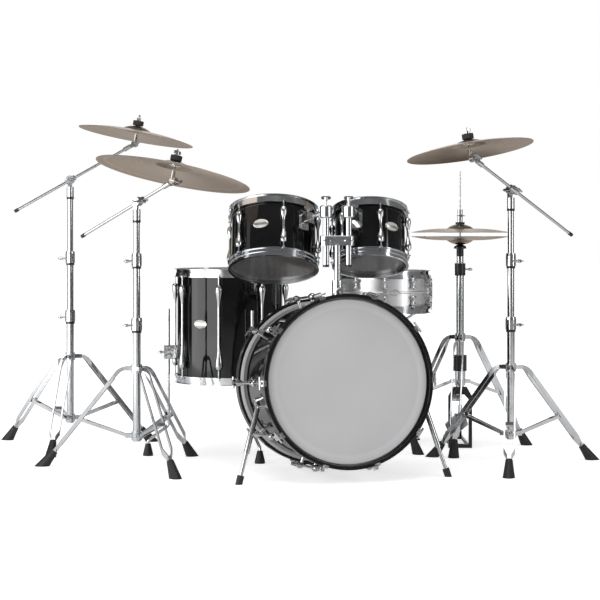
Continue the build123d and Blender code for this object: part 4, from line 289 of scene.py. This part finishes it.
set_tone(tree, links, shader, shade.outputs["Value"], (0.54, 0.54, 0.55), (0.64, 0.64, 0.65))
set_roughness(tree, links, shader, speck, 0.42, 0.58)
set_relief(tree, links, shader, speck, 0.12, 0.0004)

coated_film, tree, links, shader = new_finish("coated_film")
speck = add_noise(tree, links, 700, 3)
scuffs = add_effect(tree, handling, Scale=7.0)
set_tone(tree, links, shader, scuffs["Haze"], (0.80, 0.80, 0.79), (0.70, 0.70, 0.69))
set_roughness(tree, links, shader, speck, 0.5, 0.75)
set_relief(tree, links, shader, speck, 0.25, 0.0005)
dress(["bass_drum_heads"], coated_film)
paint("bass_drum_heads", front_film, lambda point: off_axis(point, bass_middle, bass_front)[0] > 0)


# Spurs of the bass drum. Chromed steel legs fold out of brackets on the shell and end in black rubber
# cones that keep the drum from creeping.
rubber, tree, links, shader = new_finish("black_rubber")
pores = add_noise(tree, links, 240, 4)
set_tone(tree, links, shader, pores, (0.008, 0.008, 0.008), (0.028, 0.028, 0.028))
set_roughness(tree, links, shader, pores, 0.45, 0.7)
set_relief(tree, links, shader, pores, 0.15, 0.0006)
spur_tip_top = 0.0328
for name in ("left_spur", "right_spur"):
    dress([name], chrome)
    paint(name, rubber, lambda point: point.z < spur_tip_top)


# Tom holder. A chromed post carries two arms with ball joints, and each arm's tube is closed by a black
# nylon cap pressed into its lower end.
black_nylon, tree, links, shader = new_finish("black_nylon")
worn = add_effect(tree, handling, Scale=18.0)
set_tone(tree, links, shader, worn["Haze"], (0.010, 0.010, 0.011), (0.026, 0.026, 0.027))
set_roughness(tree, links, shader, worn["Haze"], 0.25, 0.42)
set_relief(tree, links, shader, worn["Ripple"], 0.06, 0.0004)
hinges = [joint for joint in frame["joints"] if "pos_m" in joint]
pivots = {joint["name"]: Vector(joint["pos_m"]) for joint in hinges}
swings = {joint["name"]: Vector(joint["axis"]) for joint in hinges}
post_top = (pivots["large_tom_swivel"] + pivots["small_tom_swivel"]) / 2
post_radius = 0.0115
dress(["tom_post"], chrome)
paint("tom_post", cast_chrome, lambda point: off_axis(point, post_top, upright)[1] > post_radius)
arm_cap_height = 0.0078
for name in ("large_tom_arm", "small_tom_arm"):
    dress([name], chrome)
    arm_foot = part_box(name)[0][2]
    paint(name, black_nylon, lambda point: point.z < arm_foot + arm_cap_height)


# Hanging toms and floor tom. Lacquered maple shells like the bass drum's carry pressed steel hoops, cast
# lugs and steel rods in chrome, a coated head on top and a clear film head below.
clear_film, tree, links, shader = new_finish("clear_film")
worn = add_effect(tree, handling, Scale=12.0)
# Painted reflection: the clear film's grey colour and part opacity stand in for the pale floor mirrored in
# it from below; only the slight random change in the grey from the haze is the film's own.
set_tone(tree, links, shader, worn["Haze"], (0.17, 0.17, 0.175), (0.25, 0.25, 0.255))
set_roughness(tree, links, shader, worn["Haze"], 0.08, 0.2)
shader.inputs["Alpha"].default_value = 0.55
toms = {}
for drum in ("large_tom", "small_tom", "floor_tom"):
    drum_middle = middle_of(drum + "_shell")
    drum_axis = axis_of(drum + "_shell", upright)
    drum_radius = radius_of(drum + "_shell", drum_middle, drum_axis)
    drum_inside = drum_radius - lacquered_ply
    toms[drum] = (drum_axis, drum_radius)
    dress([drum + "_shell"], lacquer)
    paint(drum + "_shell", maple, lambda point: off_axis(point, drum_middle, drum_axis)[1] < drum_inside)
    dress([drum + "_heads"], coated_film)
    paint(drum + "_heads", clear_film, lambda point: off_axis(point, drum_middle, drum_axis)[0] < 0)
    dress([drum + "_hoops"], chrome)
    dress([drum + "_lugs"], cast_chrome)
dress(["large_tom_bracket", "small_tom_bracket", "floor_tom_legs"], cast_chrome)


# Snare drum. Its shell is spun from steel sheet and polished, with a chromed strainer and lever on one
# side, a butt plate on the other, and bright coiled wires under the lower head.
spun_steel, tree, links, shader = new_finish("spun_steel")
place = tree.new("ShaderNodeTexCoord")
lathe = tree.new("ShaderNodeTexWave")
lathe.bands_direction = "Z"
lathe.inputs["Scale"].default_value = 240
lathe.inputs["Distortion"].default_value = 0.6
links.new(place.outputs["Object"], lathe.inputs["Vector"])
set_tone(tree, links, shader, lathe.outputs["Fac"], (0.82, 0.82, 0.82), (0.90, 0.90, 0.90))
set_roughness(tree, links, shader, lathe.outputs["Fac"], 0.30, 0.42)
shader.inputs["Metallic"].default_value = 1.0
dress(["snare_shell"], spun_steel)
dress(["snare_heads"], coated_film)
dress(["snare_hoops", "snare_wires"], chrome)
dress(["snare_lugs", "snare_strainer", "snare_lever"], cast_chrome)


# Badge plates of the toms and the snare drum. Each is a plain oval of stamped nickel silver, curved to the
# shell, with a raised polished rim and pale enamel above and below a bare band.
badge_metal, tree, links, shader = new_finish("badge_nickel")
brushed = add_noise(tree, links, 1400, 2)
worn = add_effect(tree, handling, Scale=60.0)
set_tone(tree, links, shader, worn["Haze"], (0.66, 0.645, 0.61), (0.54, 0.53, 0.50))
set_roughness(tree, links, shader, brushed, 0.16, 0.34)
set_relief(tree, links, shader, brushed, 0.1, 0.0002)
shader.inputs["Metallic"].default_value = 1.0
badge_enamel, tree, links, shader = new_finish("badge_enamel")
orange_peel = add_noise(tree, links, 600, 2)
set_tone(tree, links, shader, orange_peel, (0.50, 0.50, 0.49), (0.62, 0.62, 0.60))
set_roughness(tree, links, shader, orange_peel, 0.2, 0.32)
set_relief(tree, links, shader, orange_peel, 0.05, 0.0002)


def oval_badge(name, body, shell, drum_axis, drum_radius, turn, rise, width, height):
    """Oval plate on a drum shell, turned round the drum's axis from its front and raised from its middle."""
    drum_middle = middle_of(shell) + drum_axis * rise
    forward = (audience - drum_axis * audience.dot(drum_axis)).normalized()
    outward = Matrix.Rotation(math.radians(turn), 3, drum_axis) @ forward
    sideways = drum_axis.cross(outward)
    steps = 72
    field_share = 0.72
    band_share = 0.3
    raised_rim = ((1.0, -0.0003), (1.0, 0.0012), (0.985, 0.0021),
                  (0.93, 0.0024), (0.88, 0.0021), (0.86, 0.0011))
    crowned_field = ((0.8, 0.0010), (0.7, 0.0010), (0.6, 0.0011), (0.5, 0.0011),
                     (0.4, 0.0012), (0.3, 0.0012), (0.2, 0.0013), (0.1, 0.0013))
    sheet = bmesh.new()
    rings = []
    for share, lift in raised_rim + crowned_field:
        ring = []
        for step in range(steps):
            angle = step / steps * math.tau
            swing = width / 2 * share * math.cos(angle) / drum_radius
            spoke = outward * math.cos(swing) + sideways * math.sin(swing)
            up = height / 2 * share * math.sin(angle)
            ring.append(sheet.verts.new(drum_middle + spoke * (drum_radius + lift) + drum_axis * up))
        rings.append(ring)
    for lower, upper in zip(rings, rings[1:]):
        for step in range(steps):
            after = (step + 1) % steps
            sheet.faces.new((lower[step], lower[after], upper[after], upper[step]))
    sheet.faces.new(rings[-1])
    sheet.faces.new(list(reversed(rings[0])))
    for face in sheet.faces:
        face.smooth = len(face.verts) == 4
        spot = face.calc_center_median() - drum_middle
        up = spot.dot(drum_axis) / (height / 2)
        run = spot.dot(sideways) / (width / 2)
        in_field = up * up + run * run < field_share
        face.material_index = int(in_field and abs(up) > band_share)
    bmesh.ops.recalc_face_normals(sheet, faces=sheet.faces)
    badge = new_piece(name, sheet, badge_metal, badge_enamel)
    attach(badge, body)


tom_badge_size = (0.057, 0.032)
for drum, turn, rise in (("large_tom", -17, 0.008), ("small_tom", 36, 0.007), ("floor_tom", -31, 0.012)):
    oval_badge(drum + "_badge", drum, drum + "_shell", *toms[drum], turn, rise, *tom_badge_size)
snare_radius = 0.1758
snare_badge_turn = 12
snare_badge_size = (0.04, 0.026)
oval_badge("snare_badge", "snare_drum", "snare_shell", upright, snare_radius, snare_badge_turn, 0,
           *snare_badge_size)


# Stands of the cymbals and the snare drum. Double-braced tripods of folded strip carry drawn steel tubes,
# all chromed, with black nylon rings under the clamps and black rubber feet.
dress(["cymbal_stand_legs", "cymbal_stand_tubes", "snare_stand_base", "snare_basket"], chrome)
dress(["rubber_feet"], rubber)
ring_height = 0.0088
lower_ring, upper_ring, snare_ring = 0.4829, 0.7149, 0.3349
paint("cymbal_stand_tubes", black_nylon, lambda point: 0 < point.z - lower_ring < ring_height
      or 0 < point.z - upper_ring < ring_height)
paint("snare_stand_base", black_nylon, lambda point: 0 < point.z - snare_ring < ring_height)
snare_middle = middle_of("snare_shell")
hook_foot = 0.5378
hook_reach = 0.188
paint("snare_basket", rubber, lambda point: point.z > hook_foot
      and off_axis(point, snare_middle, upright)[1] > hook_reach)
stands = ("left_crash", "ride", "right_crash")
top_ring_drop = 0.0771
tail_cap = 0.018
for stand in stands:
    dress([stand + "_upper_tube", stand + "_boom", stand + "_tilter"], chrome)
    clamp = pivots[stand + "_boom_tilt"]
    ring_foot = clamp.z - top_ring_drop
    paint(stand + "_upper_tube", black_nylon, lambda point: 0 < point.z - ring_foot < ring_height)
    swing = swings[stand + "_boom_tilt"]
    reach = pivots[stand + "_tilt"] - clamp
    outward = (reach - swing * reach.dot(swing)).normalized()
    tail = min(corner.co.dot(outward) for corner in nodes[stand + "_boom"].data.vertices)
    paint(stand + "_boom", black_nylon, lambda point: point.dot(outward) < tail + tail_cap)


# Felts on the cymbal rods, one under each cymbal and one over it. They are pressed wool, dyed dark grey,
# with a bore that slides on the rod, and each pair is measured from the cymbal's seat.
felt, tree, links, shader = new_finish("pressed_felt")
wool = add_noise(tree, links, 420, 6)
set_tone(tree, links, shader, wool, (0.015, 0.014, 0.014), (0.07, 0.066, 0.063))
set_roughness(tree, links, shader, wool, 0.88, 1.0)
set_relief(tree, links, shader, wool, 0.6, 0.001)
felt_bore = 0.00565
lower_felt = (-0.0131, -0.0011)
upper_felt = (0.002, 0.0221)


def in_felts(point, seat, axis):
    """Whether a point on a cymbal rod belongs to the felt under the cymbal or the one over it."""
    height, radius = off_axis(point, seat, axis)
    return radius > felt_bore and any(low < height < high for low, high in (lower_felt, upper_felt))


for stand in stands:
    seat = pivots[stand + "_rock"]
    rod_axis = axis_of(stand + "_cymbal", upright)
    paint(stand + "_tilter", felt, lambda point: in_felts(point, seat, rod_axis))


# Cymbals. Each is cast bronze, rolled, hammered to shape and turned on a lathe, so fine rings run round
# it under broad bands of tone.
lathed = bpy.data.node_groups.new("lathed_rings", "ShaderNodeTree")
lathed.interface.new_socket("Centre", in_out="INPUT", socket_type="NodeSocketVector")
lathed.interface.new_socket("Axis", in_out="INPUT", socket_type="NodeSocketVector")
lathed.interface.new_socket("Pitch", in_out="INPUT", socket_type="NodeSocketFloat")
lathed.interface.new_socket("Rings", in_out="OUTPUT", socket_type="NodeSocketFloat")
lathed.interface.new_socket("Bands", in_out="OUTPUT", socket_type="NodeSocketFloat")
given = lathed.nodes.new("NodeGroupInput")
result = lathed.nodes.new("NodeGroupOutput")
place = lathed.nodes.new("ShaderNodeTexCoord")
reach = lathed.nodes.new("ShaderNodeVectorMath")
reach.operation = "SUBTRACT"
lathed.links.new(place.outputs["Object"], reach.inputs[0])
lathed.links.new(given.outputs["Centre"], reach.inputs[1])
across = lathed.nodes.new("ShaderNodeVectorMath")
across.operation = "CROSS_PRODUCT"
lathed.links.new(reach.outputs["Vector"], across.inputs[0])
lathed.links.new(given.outputs["Axis"], across.inputs[1])
radius_at = lathed.nodes.new("ShaderNodeVectorMath")
radius_at.operation = "LENGTH"
lathed.links.new(across.outputs["Vector"], radius_at.inputs[0])
turns = lathed.nodes.new("ShaderNodeMath")
turns.operation = "DIVIDE"
lathed.links.new(radius_at.outputs["Value"], turns.inputs[0])
lathed.links.new(given.outputs["Pitch"], turns.inputs[1])
groove = lathed.nodes.new("ShaderNodeTexNoise")
groove.noise_dimensions = "1D"
groove.inputs["Scale"].default_value = 1
groove.inputs["Detail"].default_value = 3
lathed.links.new(turns.outputs["Value"], groove.inputs["W"])
lathed.links.new(groove.outputs["Fac"], result.inputs["Rings"])
broad = lathed.nodes.new("ShaderNodeTexNoise")
broad.noise_dimensions = "1D"
broad.inputs["Scale"].default_value = 55
broad.inputs["Detail"].default_value = 2
lathed.links.new(radius_at.outputs["Value"], broad.inputs["W"])
lathed.links.new(broad.outputs["Fac"], result.inputs["Bands"])

bells = {stand + "_cymbal": pivots[stand + "_rock"] for stand in stands}
bells.update({name: middle_of(name) for name in ("hihat_top_cymbal", "hihat_bottom_cymbal")})
groove_pitch = 0.0011
for name, bell in bells.items():
    axis = axis_of(name, upright)
    bronze, tree, links, shader = new_finish(name.replace("cymbal", "bronze"))
    turned = add_effect(tree, lathed, Centre=bell, Axis=axis, Pitch=groove_pitch)
    set_tone(tree, links, shader, turned["Bands"], (0.30, 0.233, 0.175), (0.48, 0.375, 0.284))
    set_roughness(tree, links, shader, turned["Rings"], 0.26, 0.42)
    set_relief(tree, links, shader, turned["Rings"], 0.2, 0.0003)
    shader.inputs["Metallic"].default_value = 1.0
    shader.inputs["Anisotropic"].default_value = 0.7
    turned_with = tree.new("ShaderNodeVectorTransform")
    turned_with.convert_from = "OBJECT"
    turned_with.convert_to = "WORLD"
    links.new(add_swirl(tree, links, bell, axis), turned_with.inputs["Vector"])
    links.new(turned_with.outputs["Vector"], shader.inputs["Tangent"])
    dress([name], bronze)


# Hi-hat stand. Chromed tubes and rod, with a black spring housing low on the tube, a black height clamp,
# a black neck under the seat, and felts either side of the top cymbal. A ring's lowest and highest points
# and its inner and outer radii say which facets are which.
spring_housing = (0.3029, 0.3651, 0.016, 0.0265)
height_clamp = (0.6759, 0.7241, 0.0136, 0.0213)
seat_neck = (0.7509, 0.7975, 0, 0.0245)
clutch_lower_felt = (0.8674, 0.8748, 0.0058, 0.013)
clutch_upper_felt = (0.8767, 0.8849, 0.0058, 0.0181)
dress(["hihat_stand_base", "hihat_upper_tube", "hihat_pull_rod"], chrome)


def on_hihat(point, *rings):
    """Whether a point lies in a ring round the hi-hat's tube, each given by its heights and its radii."""
    radius = off_axis(point, bells["hihat_top_cymbal"], upright)[1]
    return any(low < point.z < high and inner < radius < outer for low, high, inner, outer in rings)


paint("hihat_stand_base", black_nylon, lambda point: on_hihat(point, spring_housing, height_clamp))
paint("hihat_upper_tube", black_nylon, lambda point: on_hihat(point, seat_neck))
paint("hihat_pull_rod", felt, lambda point: on_hihat(point, clutch_lower_felt, clutch_upper_felt))


# Pedals. Frames are cast iron and steel in black paint, the footboards are satin cast aluminium with
# cross grooves, and the kick pedal has a chromed axle and a felt beater.
pedal_paint, tree, links, shader = new_finish("black_pedal_paint")
worn = add_effect(tree, handling, Scale=26.0)
set_tone(tree, links, shader, worn["Haze"], (0.010, 0.010, 0.010), (0.030, 0.030, 0.031))
set_roughness(tree, links, shader, worn["Haze"], 0.28, 0.5)
set_relief(tree, links, shader, worn["Ripple"], 0.12, 0.0005)
dress(["hihat_pedal_frame", "kick_pedal_frame"], pedal_paint)
cast_board, tree, links, shader = new_finish("cast_board")
worn = add_effect(tree, handling, Scale=14.0)
set_tone(tree, links, shader, worn["Haze"], (0.50, 0.50, 0.51), (0.40, 0.40, 0.41))
set_roughness(tree, links, shader, worn["Haze"], 0.25, 0.4)
set_relief(tree, links, shader, worn["Ripple"], 0.1, 0.0004)
shader.inputs["Metallic"].default_value = 1.0
dress(["hihat_footboard", "kick_footboard"], cast_board)
dress(["kick_beater"], chrome)
axle = pivots["kick_beater"]
axle_line = swings["kick_pedal"]
headward = axle_line.cross(upright)
shaft_length = 0.165
shaft_lean = math.radians(35.6)
shaft_way = upright * math.cos(shaft_lean) - headward * math.sin(shaft_lean)
beater_middle = axle + shaft_way * shaft_length
beater_reach = 0.037
paint("kick_beater", felt, lambda point: (point - beater_middle).length < beater_reach)


# Kick pedal's strap. The footboard stays as the CAD has it, less its stiff strap, and a nylon strap runs
# from its toe to the front of the cam and over it.
strap_radius = 0.028
strap_width = 0.016
strap_thick = 0.003
strap_foot = 0.1445
across_limit = 0.6 * strap_width
ahead_limit = 0.8 * strap_thick


def in_stiff_strap(point):
    """Whether a point of the CAD footboard belongs to its strap."""
    offset = point - axle
    ahead = abs(offset.dot(headward) - strap_radius)
    return abs(offset.dot(axle_line)) < across_limit and ahead < ahead_limit


board = bmesh.new()
board.from_mesh(nodes["kick_footboard"].data)
same_place = 1e-6
bmesh.ops.remove_doubles(board, verts=board.verts, dist=same_place)
stiff = [face for face in board.faces if all(in_stiff_strap(corner.co) for corner in face.verts)]
bmesh.ops.delete(board, geom=stiff, context="FACES")
bmesh.ops.holes_fill(board, edges=[edge for edge in board.edges if edge.is_boundary])
bmesh.ops.recalc_face_normals(board, faces=board.faces)
for face in board.faces:
    face.smooth = False
kick_board = new_piece("kick_board", board, cast_board)
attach(kick_board, "kick_footboard")
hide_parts("kick_footboard")

strap_top = axle + headward * strap_radius
strap_end = strap_top - upright * (axle.z - strap_foot)
wrap = math.radians(58)
wrap_steps, run_steps = 14, 24
stations = []
for step in range(wrap_steps):
    angle = wrap * (1 - step / wrap_steps)
    spoke = headward * math.cos(angle) + upright * math.sin(angle)
    stations.append((axle + spoke * strap_radius, spoke))
for step in range(run_steps + 1):
    stations.append((strap_top.lerp(strap_end, step / run_steps), headward))
half_width, half_thick, edge_round = strap_width / 2, strap_thick / 2, strap_thick / 4
section = ((half_width, half_thick - edge_round), (half_width - edge_round, half_thick),
           (edge_round - half_width, half_thick), (-half_width, half_thick - edge_round),
           (-half_width, edge_round - half_thick), (edge_round - half_width, -half_thick),
           (half_width - edge_round, -half_thick), (half_width, edge_round - half_thick))
band = bmesh.new()
rows = [[band.verts.new(middle + axle_line * across + outward * lift) for across, lift in section]
        for middle, outward in stations]
for row, after in zip(rows, rows[1:]):
    for corner in range(len(section)):
        turn = (corner + 1) % len(section)
        band.faces.new((row[corner], row[turn], after[turn], after[corner]))
band.faces.new(rows[0])
band.faces.new(rows[-1])
bmesh.ops.recalc_face_normals(band, faces=band.faces)
kick_strap = new_piece("kick_strap", band, black_nylon)
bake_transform(kick_strap)


# Studio.
def seen_directly(tree, links):
    """One for the camera's view and for mirrored or clear views, nought for light that only bounces."""
    rays = tree.new("ShaderNodeLightPath")
    value = rays.outputs["Is Camera Ray"]
    for kind in ("Is Glossy Ray", "Is Transmission Ray"):
        either = tree.new("ShaderNodeMath")
        either.operation = "MAXIMUM"
        links.new(value, either.inputs[0])
        links.new(rays.outputs[kind], either.inputs[1])
        value = either.outputs["Value"]
    return value


def flat_card(name, material, width, height, matrix):
    mesh = bpy.data.meshes.new(name)
    corners = [(-width / 2, -height / 2, 0), (width / 2, -height / 2, 0), (width / 2, height / 2, 0),
               (-width / 2, height / 2, 0)]
    mesh.from_pydata(corners, [], [(0, 1, 2, 3)])
    mesh.materials.append(material)
    sheet = bpy.data.objects.new(name, mesh)
    sheet.matrix_world = matrix
    bpy.context.collection.objects.link(sheet)
    return sheet


paper = bpy.data.materials.new("pale_paper")
paper.use_nodes = True
tree, links = paper.node_tree.nodes, paper.node_tree.links
tree.clear()
surface = tree.new("ShaderNodeOutputMaterial")
matt = tree.new("ShaderNodeBsdfDiffuse")
matt.inputs["Color"].default_value = (0.82, 0.82, 0.82, 1)
glow = tree.new("ShaderNodeEmission")
place = tree.new("ShaderNodeTexCoord")
away = tree.new("ShaderNodeVectorMath")
away.operation = "LENGTH"
links.new(place.outputs["Object"], away.inputs[0])
fade = tree.new("ShaderNodeMapRange")
fade.inputs["From Min"].default_value = 0.8
fade.inputs["From Max"].default_value = 3.5
fade.inputs["To Min"].default_value = 0.64
fade.inputs["To Max"].default_value = 0.85
links.new(away.outputs["Value"], fade.inputs["Value"])
mirrored = tree.new("ShaderNodeMath")
mirrored.operation = "MULTIPLY"
mirrored.inputs[1].default_value = 0.25
links.new(seen_directly(tree, links), mirrored.inputs[0])
viewed = tree.new("ShaderNodeLightPath")
share = tree.new("ShaderNodeMath")
share.operation = "MULTIPLY_ADD"
share.inputs[1].default_value = 0.75
links.new(viewed.outputs["Is Camera Ray"], share.inputs[0])
links.new(mirrored.outputs["Value"], share.inputs[2])
lift = tree.new("ShaderNodeMath")
lift.operation = "MULTIPLY"
links.new(fade.outputs["Result"], lift.inputs[0])
links.new(share.outputs["Value"], lift.inputs[1])
links.new(lift.outputs["Value"], glow.inputs["Strength"])
both = tree.new("ShaderNodeAddShader")
links.new(matt.outputs["BSDF"], both.inputs[0])
links.new(glow.outputs["Emission"], both.inputs[1])
links.new(both.outputs["Shader"], surface.inputs["Surface"])
floor_width = 60
flat_card("studio_floor", paper, floor_width, floor_width, Matrix())

world = bpy.data.worlds.new("studio")
bpy.context.scene.world = world
world.use_nodes = True
tree, links = world.node_tree.nodes, world.node_tree.links
tree.clear()
surface = tree.new("ShaderNodeOutputWorld")
light = tree.new("ShaderNodeBackground")
level = tree.new("ShaderNodeMapRange")
level.inputs["To Min"].default_value = 0.36
level.inputs["To Max"].default_value = 1.0
links.new(seen_directly(tree, links), level.inputs["Value"])
links.new(level.outputs["Result"], light.inputs["Strength"])
light.inputs["Color"].default_value = (1, 1, 1, 1)
links.new(light.outputs["Background"], surface.inputs["Surface"])

black_cloth, tree, links, shader = new_finish("black_flag_cloth")
shader.inputs["Base Color"].default_value = (0.02, 0.02, 0.02, 1)
shader.inputs["Roughness"].default_value = 1.0
grey_cloth, tree, links, shader = new_finish("grey_flag_cloth")
shader.inputs["Base Color"].default_value = (0.38, 0.38, 0.38, 1)
shader.inputs["Roughness"].default_value = 1.0
flags = (
    ("front_flag", grey_cloth, (3.6, -8.5, 2.8), (90, 0, 0), 12.0, 6.5),
    ("left_front_flag", grey_cloth, (-5.6, -5.0, 2.8), (90, 0, -45), 7.0, 6.5),
    ("ceiling_flag", grey_cloth, (0, -0.5, 5.6), (0, 0, 0), 15.0, 16.0),
    ("left_flag", black_cloth, (-6.5, 2.4, 2.5), (90, 0, 90), 6.4, 6.0),
    ("right_flag", grey_cloth, (6.5, 1.2, 2.5), (90, 0, 90), 8.4, 6.0),
    ("left_back_flag", black_cloth, (-4.8, 6.2, 2.5), (90, 0, 0), 4.4, 6.0),
    ("right_back_flag", black_cloth, (4.8, 6.2, 2.5), (90, 0, 0), 4.4, 6.0),
)
for name, cloth, spot, turn, width, height in flags:
    facing = Euler([math.radians(angle) for angle in turn]).to_matrix().to_4x4()
    flag = flat_card(name, cloth, width, height, Matrix.Translation(spot) @ facing)
    flag.visible_camera = False
    flag.visible_diffuse = False
    flag.visible_shadow = False

soft_boxes = (
    ("top_box", (-0.5, -1.5, 4.6), (3.5, 3.0), 85),
    ("left_box", (-3.4, -2.3, 0.9), (5.6, 1.8), 115),
    ("right_strip", (4.3, -2.6, 1.8), (0.7, 2.8), 34),
)
kit_middle = Vector((0, 0, 0.6))
for name, spot, size, power in soft_boxes:
    lamp = bpy.data.lights.new(name, "AREA")
    lamp.shape = "RECTANGLE"
    lamp.size, lamp.size_y = size
    lamp.energy = power
    holder = bpy.data.objects.new(name, lamp)
    holder.location = spot
    holder.rotation_euler = (kit_middle - Vector(spot)).to_track_quat("-Z", "Y").to_euler()
    holder.visible_camera = False
    bpy.context.collection.objects.link(holder)

lens = bpy.data.cameras.new("camera")
lens.sensor_width = 36
lens.lens = 105
lens.shift_y = -0.12
camera = bpy.data.objects.new("camera", lens)
camera.location = (0.051, -6.518, 0.862)
camera.rotation_euler = (math.radians(90), 0, 0)
bpy.context.collection.objects.link(camera)
bpy.context.scene.camera = camera
bpy.context.scene.view_settings.view_transform = "Standard"
